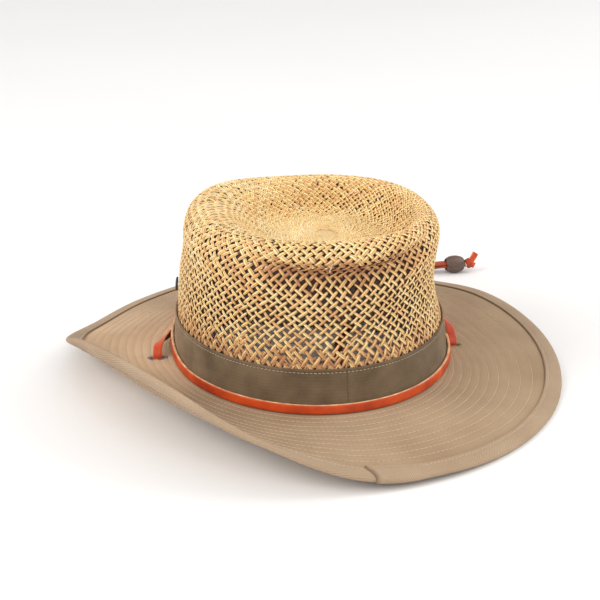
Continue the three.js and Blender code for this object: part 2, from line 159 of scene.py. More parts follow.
def new_group(name, inputs, outputs):
    tree = bpy.data.node_groups.new(name, "ShaderNodeTree")
    for label, kind, value in inputs:
        socket = tree.interface.new_socket(label, in_out="INPUT", socket_type="NodeSocket" + kind)
        if value is not None:
            socket.default_value = value
    for label, kind in outputs:
        tree.interface.new_socket(label, in_out="OUTPUT", socket_type="NodeSocket" + kind)
    start, end = tree.nodes.new("NodeGroupInput"), tree.nodes.new("NodeGroupOutput")
    return tree, start.outputs, end.inputs


def use(tree, group, **inputs):
    """A group placed in a material; underscores in a keyword stand for spaces."""
    made = tree.nodes.new("ShaderNodeGroup")
    made.node_tree = group
    for key, value in inputs.items():
        socket = made.inputs[key.replace("_", " ")]
        if isinstance(value, bpy.types.NodeSocket):
            tree.links.new(value, socket)
        else:
            socket.default_value = value
    return made.outputs


def mottle_group():
    """Soft blotches and fine speckle over a cloth's colour."""
    tree, put_in, put_out = new_group(
        "mottle",
        [("Vector", "Vector", None), ("Light", "Color", (1, 1, 1, 1)), ("Dark", "Color", (0, 0, 0, 1)),
         ("Blotch Scale", "Float", 20.0), ("Speckle Scale", "Float", 1200.0), ("Speckle", "Float", 0.2)],
        [("Color", "Color"), ("Speckle Mask", "Float")])
    spread = fitted(tree, noise(tree, put_in["Vector"], put_in["Blotch Scale"], 4.0), 0.32, 0.68)
    base = blend_colours(tree, spread, put_in["Dark"], put_in["Light"])
    mask = fitted(tree, noise(tree, put_in["Vector"], put_in["Speckle Scale"]), 0.3, 0.7)
    gain = maths(tree, "MULTIPLY_ADD", mask, put_in["Speckle"], 1.0)
    level = maths(tree, "SUBTRACT", gain, maths(tree, "MULTIPLY", put_in["Speckle"], 0.5))
    tree.links.new(blend_colours(tree, 1.0, base, grey(tree, level), "MULTIPLY"), put_out["Color"])
    tree.links.new(mask, put_out["Speckle Mask"])
    return tree


def plain_weave_group():
    """Threads over and under each other: height of the cloth over a square grid."""
    tree, put_in, put_out = new_group(
        "plain_weave", [("Vector", "Vector", None), ("Pitch", "Float", 0.0006)], [("Height", "Float")])
    split = add(tree, "SeparateXYZ", {0: put_in["Vector"]}).outputs
    across = maths(tree, "DIVIDE", split[0], put_in["Pitch"])
    along = maths(tree, "DIVIDE", split[1], put_in["Pitch"])
    warp, weft = (maths(tree, "ABSOLUTE", maths(tree, "SINE", maths(tree, "MULTIPLY", way, math.pi)))
                  for way in (across, along))
    cells = maths(tree, "ADD", maths(tree, "FLOOR", across), maths(tree, "FLOOR", along))
    over = maths(tree, "PINGPONG", cells, 1.0)
    low = maths(tree, "MULTIPLY", weft, maths(tree, "SUBTRACT", 1.0, over))
    tree.links.new(maths(tree, "MULTIPLY_ADD", warp, over, low), put_out["Height"])
    return tree


def twill_group():
    """Slanting twill ribs, with the rib's height and the dark line between ribs, which the binding's colour
    uses as painted shade in the grooves.
    """
    tree, put_in, put_out = new_group(
        "twill", [("Vector", "Vector", None), ("Pitch", "Float", 0.001), ("Slant", "Float", 1.0)],
        [("Height", "Float"), ("Line", "Float")])
    split = add(tree, "SeparateXYZ", {0: put_in["Vector"]}).outputs
    place = maths(tree, "MULTIPLY_ADD", split[1], put_in["Slant"], split[0])
    place = maths(tree, "MULTIPLY_ADD", noise(tree, put_in["Vector"], 300.0), 0.0006, place)
    ribs = maths(tree, "DIVIDE", place, put_in["Pitch"])
    height = maths(tree, "ABSOLUTE", maths(tree, "SINE", maths(tree, "MULTIPLY", ribs, math.pi)))
    tree.links.new(height, put_out["Height"])
    tree.links.new(maths(tree, "POWER", maths(tree, "SUBTRACT", 1.0, height), 3.0), put_out["Line"])
    return tree


MOTTLE, PLAIN_WEAVE, TWILL = mottle_group(), plain_weave_group(), twill_group()


def new_material(name, roughness, specular=0.3, sheen=0.0):
    """A material, with its nodes, the inputs of its surface and the piece's own coordinates."""
    material = bpy.data.materials.new(name)
    material.use_nodes = True
    tree = material.node_tree
    surface = tree.nodes["Principled BSDF"].inputs
    surface["Roughness"].default_value = roughness
    surface["Specular IOR Level"].default_value = specular
    surface["Sheen Weight"].default_value = sheen
    return material, tree, surface, add(tree, "TexCoord").outputs


def bump(tree, surface, height, strength, distance):
    made = add(tree, "Bump", {"Height": height, "Strength": strength, "Distance": distance})
    tree.links.new(made.outputs[0], surface["Normal"])


def mottled(tree, place, light, dark, blotch_scale, speckle_scale, speckle):
    return use(tree, MOTTLE, Vector=place, Light=light, Dark=dark, Blotch_Scale=blotch_scale,
               Speckle_Scale=speckle_scale, Speckle=speckle)


def canvas_material(name, light, dark, on_map=False, pitch=0.0006, blotch=22.0):
    """Plain-woven canvas; on_map follows the piece's own map, else the grain lies straight across it."""
    material, tree, surface, source = new_material(name, 0.92, 0.15, 0.08)
    place = source["UV"] if on_map else source["Object"]
    turned = add(tree, "Mapping", {"Vector": place, "Rotation": (0, 0, 0.0 if on_map else 0.5)}).outputs[0]
    colour = mottled(tree, source["Object"], light, dark, blotch, 1500.0, 0.16)["Color"]
    weave = use(tree, PLAIN_WEAVE, Vector=turned, Pitch=pitch)["Height"]
    # Painted light: paler where the pale mark is set, on the brim's curled-up left and the cloth's sides
    painted_light_gain = maths(tree, "MULTIPLY_ADD", attribute(tree, "pale"), 0.6, 1.0)
    # Painted shade between the threads and a painted highlight on their crossings
    grain = maths(tree, "MULTIPLY", fitted(tree, weave, 0.0, 1.0, 0.9, 1.05), painted_light_gain)
    tree.links.new(blend_colours(tree, 1.0, colour, grey(tree, grain), "MULTIPLY"), surface["Base Color"])
    fuzz = noise(tree, source["Object"], 260.0, 3.0)
    bump(tree, surface, maths(tree, "MULTIPLY_ADD", fuzz, 1.5, weave), 0.55, 0.00018)
    return material


def twill_material(name, light, dark):
    """Twill ribs on the piece's map, with other ribs left of its join, painted shade in the grooves between
    ribs and a painted shadow line at the join.
    """
    material, tree, surface, source = new_material(name, 0.9, 0.15, 0.08)
    colour = mottled(tree, source["Object"], light, dark, 26.0, 1300.0, 0.14)["Color"]
    left = attribute(tree, "left")
    across = use(tree, TWILL, Vector=source["UV"], Pitch=0.00145, Slant=1.1)
    along = use(tree, TWILL, Vector=source["UV"], Pitch=0.0042, Slant=4.0)
    right = maths(tree, "SUBTRACT", 1.0, left)
    line, height = (maths(tree, "ADD", maths(tree, "MULTIPLY", across[part], right),
                          maths(tree, "MULTIPLY", along[part], left)) for part in ("Line", "Height"))
    # Painted shade in the grooves between the ribs
    groove_shaded = blend_colours(tree, maths(tree, "MULTIPLY", line, 0.75), colour, darker(dark, 0.5))
    # Painted shadow: a dark brown line along the overlapped join
    painted_join_shadow = maths(tree, "MULTIPLY", attribute(tree, "painted_join_shadow"), 0.7)
    tree.links.new(blend_colours(tree, painted_join_shadow, groove_shaded, linear(96, 72, 52)), surface["Base Color"])
    bump(tree, surface, height, 0.8, 0.0003)
    return material


def thread_material(name, colour):
    material, tree, surface, source = new_material(name, 0.7, 0.25, 0.1)
    tone = noise(tree, source["Object"], 90.0)
    tree.links.new(blend_colours(tree, tone, darker(colour, 0.7), colour), surface["Base Color"])
    twist = add(tree, "TexWave", {"Vector": source["Object"], "Scale": 900.0, "Distortion": 2.0},
                bands_direction="DIAGONAL")
    bump(tree, surface, twist.outputs[1], 0.4, 0.0001)
    return material


# Length and width of a strand on its own map, in metres
STRAND_MAP = (0.3, 0.005)


def straw_material():
    """Split straw: two fibres to a strand, each strand its own tone (the tone mark also carries painted
    shade in the front crease), with painted shade where it goes under another strand, between its fibres
    and at its edges.
    """
    material, tree, surface, source = new_material("woven_straw", 0.5, 0.35, 0.05)
    tone, strand = attribute(tree, "tone"), source["UV"]
    own = add(tree, "CombineXYZ", {0: maths(tree, "MULTIPLY", tone, 37.0)}).outputs[0]
    shifted = add(tree, "VectorMath", {0: strand, 1: own}, operation="ADD").outputs[0]
    base = ramp(tree, tone, [
        (0.0, linear(186, 130, 92)), (1.0, linear(255, 242, 194)), (0.22, linear(230, 179, 117)),
        (0.5, linear(248, 211, 144)), (0.78, linear(254, 230, 168))])
    drift = noise(tree, shifted, 140.0, 3.0)
    warmed = blend_colours(tree, fitted(tree, drift, 0.53, 0.7, end=0.6), base, linear(236, 188, 156))
    sunned = blend_colours(tree, fitted(tree, drift, 0.46, 0.32, end=0.6), warmed, linear(252, 236, 150))
    stretched = add(tree, "Mapping", {"Vector": shifted, "Scale": (120.0, 7000.0, 1.0)}).outputs[0]
    fibres = noise(tree, stretched, 1.0, 4.0)
    across = add(tree, "SeparateXYZ", {0: strand}).outputs[1]
    across = maths(tree, "MULTIPLY", across, 4 * math.pi / STRAND_MAP[1])
    crest = maths(tree, "ABSOLUTE", maths(tree, "SINE", maths(tree, "MULTIPLY_ADD", fibres, 1.2, across)))
    # Painted shade between the two fibres and at the strand's edges, painted highlight on the fibres'
    # crests
    groove_shaded = blend_colours(tree, fitted(tree, crest, 0.75, 0.1, end=0.8), sunned, linear(170, 108, 60))
    # Painted shade: dark brown where a strand goes under another, by the under mark
    under_shade = fitted(tree, attribute(tree, "under"), 0.64, 1.0, end=0.97)
    tree.links.new(blend_colours(tree, under_shade, groove_shaded, linear(44, 22, 12)), surface["Base Color"])
    bump(tree, surface, crest, 0.6, 0.0004)
    return material


def leather_material():
    """Dyed leather strip: orange on the grain side, pale on the cut edges, tan on the flesh side."""
    material, tree, surface, source = new_material("dyed_leather", 0.42, 0.4, 0.0)
    side, edge = attribute(tree, "side"), attribute(tree, "edge")
    tone, flesh, cut = (mottled(tree, source["Object"], *cover)["Color"] for cover in (
        (linear(212, 80, 28), linear(170, 54, 20), 70.0, 1600.0, 0.2),
        (linear(150, 104, 72), linear(98, 66, 46), 160.0, 1400.0, 0.3),
        (linear(238, 196, 148), linear(198, 130, 86), 150.0, 1400.0, 0.25)))
    faced = blend_colours(tree, edge, blend_colours(tree, side, tone, flesh), cut)
    # Darker on the chin laces and the knot, where the deep mark is set
    marked = blend_colours(tree, attribute(tree, "deep"), faced, linear(126, 42, 14))
    tree.links.new(marked, surface["Base Color"])
    rough = fitted(tree, maths(tree, "MAXIMUM", side, edge), 0.0, 1.0, 0.4, 0.85)
    tree.links.new(rough, surface["Roughness"])
    pores = add(tree, "TexVoronoi", {"Vector": source["Object"], "Scale": 1400.0}).outputs[0]
    bump(tree, surface, pores, 0.25, 0.0002)
    return material


def wood_material():
    material, tree, surface, source = new_material("dark_wood", 0.48, 0.35)
    grain = add(tree, "Mapping", {"Vector": source["Object"], "Scale": (60.0, 420.0, 420.0)}).outputs[0]
    rings = noise(tree, grain, 1.0, 5.0)
    colour = ramp(tree, rings, [
        (0.3, linear(76, 59, 52)), (0.72, linear(114, 92, 82)), (0.5, linear(94, 75, 67))])
    tree.links.new(colour, surface["Base Color"])
    tree.links.new(maths(tree, "MULTIPLY_ADD", rings, 0.25, 0.34), surface["Roughness"])
    bump(tree, surface, rings, 0.3, 0.0003)
    return material


def stud_material():
    material, tree, surface, source = new_material("dark_stud", 0.4, 0.4)
    colour = mottled(tree, source["Object"], linear(66, 64, 66), linear(34, 33, 36), 300.0, 1500.0, 0.2)
    tree.links.new(colour["Color"], surface["Base Color"])
    marked = maths(tree, "MULTIPLY_ADD", colour["Speckle Mask"], 0.2, 0.32)
    tree.links.new(marked, surface["Roughness"])
    bump(tree, surface, colour["Speckle Mask"], 0.2, 0.0001)
    return material


def floor_material():
    material, tree, surface, source = new_material("pale_floor", 0.75, 0.2)
    tones = linear(240, 239, 238), linear(238, 236, 235)
    colour = mottled(tree, source["Object"], *tones, 2.0, 300.0, 0.01)["Color"]
    tree.links.new(colour, surface["Base Color"])
    return material


BRIM_CANVAS = canvas_material("brim_canvas", linear(170, 144, 115), linear(155, 128, 100))
BAND_CANVAS = canvas_material("band_canvas", linear(120, 101, 78), linear(97, 80, 60), True, 0.0005, 60.0)
SWEAT_CLOTH = canvas_material("sweat_cloth", linear(128, 116, 108), linear(106, 95, 88), True, 0.0005, 60.0)
BINDING_TWILL = twill_material("binding_twill", linear(183, 158, 131), linear(169, 143, 116))
PALE_THREAD = thread_material("pale_thread", linear(226, 205, 176))
TAN_THREAD = thread_material("tan_thread", linear(216, 192, 160))
BROWN_THREAD = thread_material("brown_thread", linear(126, 100, 80))
PURPLE_THREAD = thread_material("purple_thread", linear(140, 124, 136))
SPLIT_STRAW = thread_material("split_straw", linear(255, 244, 206))
GREEN_THREAD = thread_material("green_thread", linear(132, 136, 108))
STRAW, LEATHER, WOOD, STUD = straw_material(), leather_material(), wood_material(), stud_material()


# Mesh building

def finish_piece(piece, name, material, slot, *nodes):
    """Names a finished piece, gives it its material and lets it stand for its solids."""
    piece.name = piece.data.name = name
    piece.data.materials.clear()
    piece.data.materials.append(material)
    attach(piece, "root")
    if nodes:
        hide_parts(*nodes)
    return piece


def only(piece):
    bpy.ops.object.select_all(action="DESELECT")
    piece.select_set(True)
    bpy.context.view_layer.objects.active = piece


def mesh_points(mesh):
    flat = np.zeros(len(mesh.vertices) * 3, np.float32)
    mesh.vertices.foreach_get("co", flat)
    return flat.reshape(-1, 3).astype(float)


def set_points(mesh, points):
    mesh.vertices.foreach_set("co", np.asarray(points, np.float32).ravel())
    mesh.update()


def set_mark(mesh, name, values):
    """A number at each point, for a material to read."""
    mark = mesh.attributes.new(name, "FLOAT", "POINT")
    mark.data.foreach_set("value", np.asarray(values, np.float32).ravel())


def scale_map(mesh, across, up):
    """The piece's map in metres instead of shares; a list for up holds the distance walked at each row."""
    flat = np.zeros(len(mesh.loops) * 2, np.float32)
    mesh.uv_layers[0].data.foreach_get("uv", flat)
    flat[0::2] *= across
    walked = np.append(0, up) if np.ndim(up) == 0 else np.asarray(up)
    flat[1::2] = np.interp(flat[1::2], np.linspace(0, 1, len(walked)), walked)
    mesh.uv_layers[0].data.foreach_set("uv", flat)


MERGE = 2e-6


def weld(threshold=MERGE):
    """Merges the meeting points of the piece at work, turns its faces outward and smooths it."""
    bpy.ops.object.mode_set(mode="EDIT")
    bpy.ops.mesh.select_all(action="SELECT")
    bpy.ops.mesh.remove_doubles(threshold=threshold)
    bpy.ops.mesh.normals_make_consistent(inside=False)
    bpy.ops.object.mode_set(mode="OBJECT")
    bpy.ops.object.shade_smooth()


def nearest(share, last):
    """The whole step nearest to this share of the way to the last one."""
    return np.rint(share * last).astype(int)


def carried_grid(columns, rows, place, size, marks=None):
    """A grid primitive whose points are carried to place(u, v), with its meeting edges merged."""
    bpy.ops.mesh.primitive_grid_add(x_subdivisions=columns, y_subdivisions=rows, size=2)
    piece = bpy.context.object
    flat = mesh_points(piece.data)
    u, v = (flat[:, 0] + 1) / 2, (flat[:, 1] + 1) / 2
    scale_map(piece.data, *size)
    set_points(piece.data, placed(place(u, v)))
    for name, mark in (marks or {}).items():
        set_mark(piece.data, name, mark(u, v))
    weld()
    return piece


def spline(points, count, even=False):
    """Points on the smooth centripetal curve through these, evenly spaced if asked."""
    points = np.asarray(points, float)
    ends = [2 * points[0] - points[1], 2 * points[-1] - points[-2]]
    full = np.vstack([ends[0], points, ends[1]])
    if even:
        fine = spline(points, 40 * len(points))
        walked = walked_along(fine[:, :3])
        return read_off(np.linspace(0, walked[-1], count), walked, fine)
    place = np.linspace(0, len(points) - 1, count)
    i = np.minimum(place.astype(int), len(points) - 2)
    f = (place - i)[:, None]
    p0, p1, p2, p3 = (full[i + k] for k in range(4))
    d0, d1, d2 = (np.maximum(np.linalg.norm((b - a)[:, :3], axis=1), 1e-9)[:, None] ** 0.5
                  for a, b in ((p0, p1), (p1, p2), (p2, p3)))
    t1 = ((p1 - p0) / d0 - (p2 - p0) / (d0 + d1) + (p2 - p1) / d1) * d1
    t2 = ((p2 - p1) / d1 - (p3 - p1) / (d1 + d2) + (p3 - p2) / d2) * d1
    return p1 + t1 * f + (-3 * p1 + 3 * p2 - 2 * t1 - t2) * f ** 2 + (2 * p1 - 2 * p2 + t1 + t2) * f ** 3


def unit(vectors):
    return vectors / np.maximum(np.linalg.norm(vectors, axis=-1, keepdims=True), 1e-12)


def walked_along(points):
    """Distance from the first of these points to each one."""
    return np.concatenate([[0], np.cumsum(np.linalg.norm(np.diff(points, axis=0), axis=1))])


def read_off(wanted, places, rows):
    """The rows that stand at these places, read off at the wanted ones."""
    return np.stack([np.interp(wanted, places, column) for column in rows.T], 1)


def tangents_of(points):
    return unit(np.gradient(points, axis=0))


def share_of(values):
    return np.clip(values, 0, 1)


def hill(distance, reach):
    """1 at no distance, falling smoothly to nearly 0 at twice the reach."""
    return np.exp(-((distance / reach) ** 2))


def squared(wides, tangents):
    """These directions with what runs along the tangents taken out."""
    return wides - tangents * np.sum(wides * tangents, 1)[:, None]


def sine_cosine(angle):
    return np.sin(np.radians(angle)), np.cos(np.radians(angle))


def turn_from(middle, angle):
    """Degrees from the middle to this angle the short way round."""
    return (angle - middle + 180) % 360 - 180


# The hat's surfaces, in millimetres about its middle, as the solids have them

HEAD_LENGTH, HEAD_WIDTH = 104.9, 92.5
CROWN_ROWS = np.array([
    # height, half length, half width, shift x, shift y, front rise, squareness
    [15.3, 103.4, 91.0, 0, 0, 0, 2],
    [30, 102.4, 89.6, -0.5, 0, 0, 2],
    [44, 101.4, 88.2, -1, 0, 0, 2],
    [58, 99.5, 85.7, -2.6, 0, 0, 2.05],
    [74, 96.5, 83.8, -3, -0.5, 0, 2.1],
    [88, 93, 82.8, -1.5, -1, 0.5, 2.2],
    [100, 89.5, 83.6, 0, -1, 1.5, 2.2],
    [108, 86, 81.8, 1, -1, 2, 2.25],
    [113.5, 81, 77.2, 2, -1, 2, 2.3],
    [116, 75, 71.2, 3, -1, 2, 2.3],
    [113.5, 69, 62, 7, 0, 2, 2.3],
    [106, 64, 55.5, 10, 1, 1.5, 2.3],
    [96, 60, 50, 11, 2, 1, 2.2],
    [91, 55, 45, 11, 3, 0, 2],
    [91.5, 42, 34, 11, 4, 0, 2],
    [94, 22, 18, 11, 4, 0, 2],
    [94.5, 0, 0, 11, 4, 0, 2],
])
LAST_ROW = len(CROWN_ROWS) - 1
RIM_END = 10
CROWN_FOLDS = [
    # angle, spread, height, reach, inward, lift, rise
    (4, 42, 95, 6, 9, 0, 12),
    (4, 52, 109, 6, -2, 0, 4),
    (230, 32, 113, 12, -1.5, 2.5, 0),
]


def smooth_table(table, position, wraps=False):
    """Smooth values between a table's rows."""
    last = len(table) - 1
    index = np.floor(position).astype(int)
    if not wraps:
        index = np.minimum(index, last - 1)
    f = position - index
    f = f[..., None] if table.ndim > 1 else f
    rows = [(index + k) % (last + 1) if wraps else np.clip(index + k, 0, last) for k in (-1, 0, 1, 2)]
    p0, p1, p2, p3 = (table[row] for row in rows)
    return 0.5 * (2 * p1 + (p2 - p0) * f + (2 * p0 - 5 * p1 + 4 * p2 - p3) * f ** 2
                  + (3 * p1 - p0 - 3 * p2 + p3) * f ** 3)


def crown_point(angle, position):
    """The crown's outer face: angle from the front in degrees, position along the rows."""
    angle, position = np.broadcast_arrays(np.asarray(angle, float), np.asarray(position, float))
    row = smooth_table(CROWN_ROWS, position)
    z, length, width, shift_x, shift_y, rise, squareness = np.moveaxis(row, -1, 0)
    sine, cosine = sine_cosine(angle)
    x = shift_x + width * np.sign(sine) * np.abs(sine) ** (2 / squareness)
    y = shift_y - length * np.sign(cosine) * np.abs(cosine) ** (2 / squareness)
    raised = z + rise * cosine
    fade = share_of(RIM_END - position)
    for middle, spread, height, reach, inward, lift, climb in CROWN_FOLDS:
        turn = turn_from(middle, angle) / spread
        around = np.where(np.abs(turn) < 1.6, np.cos(np.clip(turn / 1.6, -1, 1) * math.pi / 2) ** 2, 0)
        weight = fade * around * hill(z - height - climb * turn ** 2, reach)
        x = x - weight * inward * sine
        y = y + weight * inward * cosine
        raised = raised + weight * lift
    return np.stack([x, y, raised], -1)


def crown_normal(angle, position):
    around = crown_point(angle + 1, position) - crown_point(angle - 1, position)
    above, below = np.minimum(position + 0.1, LAST_ROW - 0.01), np.maximum(position - 0.1, 0)
    up = crown_point(angle, above) - crown_point(angle, below)
    return unit(np.cross(around, up))


BAND_BOTTOM, BAND_TOP = 15.3, 44.1
TOP_LENGTH, TOP_WIDTH = 102.9, 89.7


def band_face(angle, z):
    """The band's outer face: angle from the front in degrees, height in millimetres."""
    share = (z - BAND_BOTTOM) / (BAND_TOP - BAND_BOTTOM)
    sine, cosine = sine_cosine(angle)
    length = HEAD_LENGTH + (TOP_LENGTH - HEAD_LENGTH) * share
    width = HEAD_WIDTH + (TOP_WIDTH - HEAD_WIDTH) * share
    return np.stack([-share + width * sine, -length * cosine, z + 0 * angle], -1)


def oval_outward(angle):
    sine, cosine = sine_cosine(angle)
    return unit(np.stack([sine / HEAD_WIDTH, -cosine / HEAD_LENGTH, 0 * angle], -1))


BRIM_TOP, BRIM_WALL, BRIM_SLANT, BRIM_SLANT_SWELL = 15.0, 2.0, 75.5, 2.2
BINDING_LIFT = 1.5

# Height of the brim's edge over the floor, every 20 degrees from the front
BRIM_EDGE_HEIGHTS = np.array([
    7.4, 2.2, 0, 0, 3.2, 6.5, 8, 2.5, 4.5, 0, 0, 0, 3.3, 19.1, 42.5, 51.3, 47.5, 29.8])


def brim_middle(angle, share):
    """Middle of the brim's cloth, at a share of the slant from the crown to the edge."""
    angle, share = np.broadcast_arrays(np.asarray(angle, float), np.asarray(share, float))
    at_crown = BRIM_TOP - BRIM_WALL / 2
    edge = smooth_table(BRIM_EDGE_HEIGHTS, (angle % 360) / 20, wraps=True)
    rise = edge + BINDING_LIFT - at_crown
    sine, cosine = sine_cosine(angle)
    slant = BRIM_SLANT + BRIM_SLANT_SWELL * sine
    reach = np.sqrt(slant ** 2 - 1.15 * rise ** 2)
    power = np.where(rise > 0, 3.0, 1.5)
    height = at_crown + rise * np.maximum(share, 0) ** power
    foot = np.stack([HEAD_WIDTH * sine, -HEAD_LENGTH * cosine, height], -1)
    return foot + oval_outward(angle) * (reach * share)[..., None]


def brim_frame(angle, share):
    outward = unit(brim_middle(angle, share + 0.01) - brim_middle(angle, share - 0.01))
    around = unit(brim_middle(angle + 0.5, share) - brim_middle(angle - 0.5, share))
    up = unit(np.cross(outward, around))
    up = np.where(up[..., 2:] < 0, -up, up)
    return brim_middle(angle, share), outward, up, around


def brim_offset(angle, share, outward, up):
    middle, away, normal, _ = brim_frame(angle, share)
    return middle + away * np.asarray(outward)[..., None] + normal * np.asarray(up)[..., None]


# Free stretches of the lace, with the bead and the knot at their end

LACE_WIDTH, LACE_THICKNESS = 6.0, 2.0
LEFT_ROUTE = [
    (-104.3, -2.4, 14.2), (-104.3, -2.4, 11), (-104.2, -0.8, 6.2), (-103.6, 3.6, 2.6), (-102, 12, 1.3),
    (-97, 25, 1.2), (-86, 46, 1.2), (-68, 68, 1.2), (-42, 88, 1.2), (-10, 103, 1.2), (24, 115, 1.2),
    (50, 130, 1.2), (68, 146, 1.2), (82, 160.5, 1.2), (97, 169, 1.2), (110, 170, 1.2), (120, 166, 1.9),
    (127.5, 160.9, 4), (133.5, 158, 5.6), (139.8, 157.6, 5.85), (145.8, 157.6, 5.85), (152.7, 157.6, 5.85),
]
RIGHT_ROUTE = [
    (96.5, -14, 13.8), (96.5, -14, 10), (96.4, -15.6, 5.6), (95.7, -20.4, 2.4), (92.8, -29, 1.3),
    (84, -41, 1.2), (66, -50, 1.2), (46, -48, 1.2), (30, -36, 1.2), (21, -16, 1.2), (21, 8, 1.2),
    (28, 34, 1.2), (40, 62, 1.2), (54, 90, 1.2), (68, 116, 1.2), (80, 138, 1.2), (91, 152, 1.2),
    (102, 160.4, 1.2), (110, 160.6, 2), (118, 158.8, 4.8), (126, 157.6, 7.4), (133.5, 157.6, 8.15),
    (139.8, 157.6, 8.15), (145.8, 157.6, 8.15), (152.7, 157.6, 8.15),
]

# Around a lace's section: share of the half width, share of the half thickness, cut edge
LACE_SECTION = np.array([
    (-0.91, 0.9, 0), (-0.5, 1, 0), (0.5, 1, 0), (0.91, 0.9, 0), (0.98, 0.7, 1), (1, 0, 1), (0.98, -0.7, 1),
    (0.91, -0.9, 0), (0.5, -1, 0), (-0.5, -1, 0), (-0.91, -0.9, 0), (-0.98, -0.7, 1), (-1, 0, 1),
    (-0.98, 0.7, 1), (-0.91, 0.9, 0),
])


def lace_strip(centres, wides, width=LACE_WIDTH, thickness=LACE_THICKNESS, grain=-1, pale=1.0, deep=0.0):
    """A flat strip through these centres, its width along wides, its dyed face on the grain's side."""
    centres = np.vstack([centres[:1], centres, centres[-1:]])
    wides = unit(np.vstack([wides[:1], wides, wides[-1:]]))
    tangents = tangents_of(centres)
    tangents[[0, -1]] = tangents[[2, -3]]
    thicks = unit(np.cross(tangents, wides))
    last, rows = len(centres) - 1, len(LACE_SECTION) - 1

    def indices(u, v):
        return nearest(u, last), nearest(v, rows)

    def place(u, v):
        i, j = indices(u, v)
        full = np.where(capped(i), 0.0, 0.5)[:, None]
        across = wides[i] * LACE_SECTION[j, :1] * width
        return centres[i] + full * (across + thicks[i] * LACE_SECTION[j, 1:2] * thickness)

    def capped(i):
        return (i == 0) | (i == last)

    marks = {
        "edge": lambda u, v: pale * LACE_SECTION[indices(u, v)[1], 2] * ~capped(indices(u, v)[0]),
        "side": lambda u, v: (LACE_SECTION[indices(u, v)[1], 1] * grain < -0.8) | capped(indices(u, v)[0]),
        "deep": lambda u, v: deep + 0 * u,
    }
    length = np.linalg.norm(np.diff(centres, axis=0), axis=1).sum()
    size = (length * MM, 2 * (width + thickness) * MM)
    return carried_grid(last, rows, place, size, marks), length


def carried_wides(route, first, steps=36):
    """The strip's width along a free stretch: it starts across the crown and turns flat on the floor."""
    wides, wide = [], np.array(first, float)
    for tangent in tangents_of(spline(route, steps + 1, even=True)):
        wide = wide - tangent * (wide @ tangent)
        wide[2] *= 0.3
        wide = unit(wide - tangent * (wide @ tangent))
        wides.append(wide)
    return np.array(wides)


def chin_lace(name, route, first):
    count = 241
    centres = spline(route, count, even=True)
    coarse = carried_wides(route, first)
    wides = read_off(np.linspace(0, len(coarse) - 1, count), np.arange(len(coarse)), coarse)
    wides = unit(squared(wides, tangents_of(centres)))
    # The chin laces are darker: cut edges barely paler and the deep mark set
    piece, length = lace_strip(centres, wides, pale=0.15, deep=0.5)
    finish_piece(piece, name + "_strip", LEATHER, "lace_leather", name)
    return piece, centres, length * MM


def profile_spin(profile, steps):
    """A turned piece: the outline (radius, height) in millimetres spun about its own +Z."""
    bpy.ops.mesh.primitive_circle_add(vertices=len(profile), radius=1)
    piece = bpy.context.object
    outline = [(r * MM, 0, h * MM) for r, h in profile]
    set_points(piece.data, outline)
    bpy.ops.object.mode_set(mode="EDIT")
    bpy.ops.mesh.select_all(action="SELECT")
    bpy.ops.mesh.spin(steps=steps, angle=TAU, center=(0, 0, 0), axis=(0, 0, 1))
    weld(MERGE / 2)
    return piece


def turned_towards(piece, direction, centre):
    """Turns the piece's own +Z to this direction and moves it to its place."""
    turn = Vector((0, 0, 1)).rotation_difference(Vector(direction)).to_matrix()
    points = mesh_points(piece.data) @ np.array(turn).T
    set_points(piece.data, points + placed(centre))


BEAD_CENTRE, BEAD_RADIUS, BEAD_LENGTH, BEAD_BORE = (145.5, 157.6, 7.0), 7.0, 15.0, 4.1
KNOT_CENTRE, KNOT_TILT = (BEAD_CENTRE[0] + BEAD_LENGTH / 2 + 4.2, *BEAD_CENTRE[1:]), 1.08


def make_bead():
    turns = np.radians(np.linspace(-56, 56, 21))
    half = BEAD_LENGTH / 2 - 0.3
    outer = [((BEAD_RADIUS - 0.15) * math.cos(a) ** 0.7, half * math.sin(a) / math.sin(turns[-1]))
             for a in turns]
    inner = [(BEAD_BORE + 0.4, half - 0.1), (BEAD_BORE + 0.1, half - 0.7), (BEAD_BORE, 3), (BEAD_BORE, -3),
             (BEAD_BORE + 0.1, 0.7 - half), (BEAD_BORE + 0.4, 0.1 - half)]
    piece = profile_spin(outer + inner, 40)
    turned_towards(piece, (1, 0, 0), BEAD_CENTRE)
    return finish_piece(piece, "turned_bead", WOOD, "bead_wood", "bead")


# From the knot's centre: the core's centres, and the centres, first width, width and grain of each tail
KNOT_CORE = [(-3.4, -1.2, -0.8), (-1, -0.5, -0.4), (1.6, 0.8, 0.6), (3.4, 1.6, 0)]
KNOT_TAILS = [
    ([(0.5, -0.5, 0.5), (2.6, -0.2, 3.2), (4.4, 0.6, 5.6), (5.9, 1.6, 7.8)], (0.7, 0, -0.6), 5.0, -1),
    ([(0.5, 0, -0.5), (1.9, -1.2, -0.4), (3.2, -1.9, -1.0), (4.2, -2.1, -1.6)], (0.3, 0.3, 1), 4.6, 1),
]


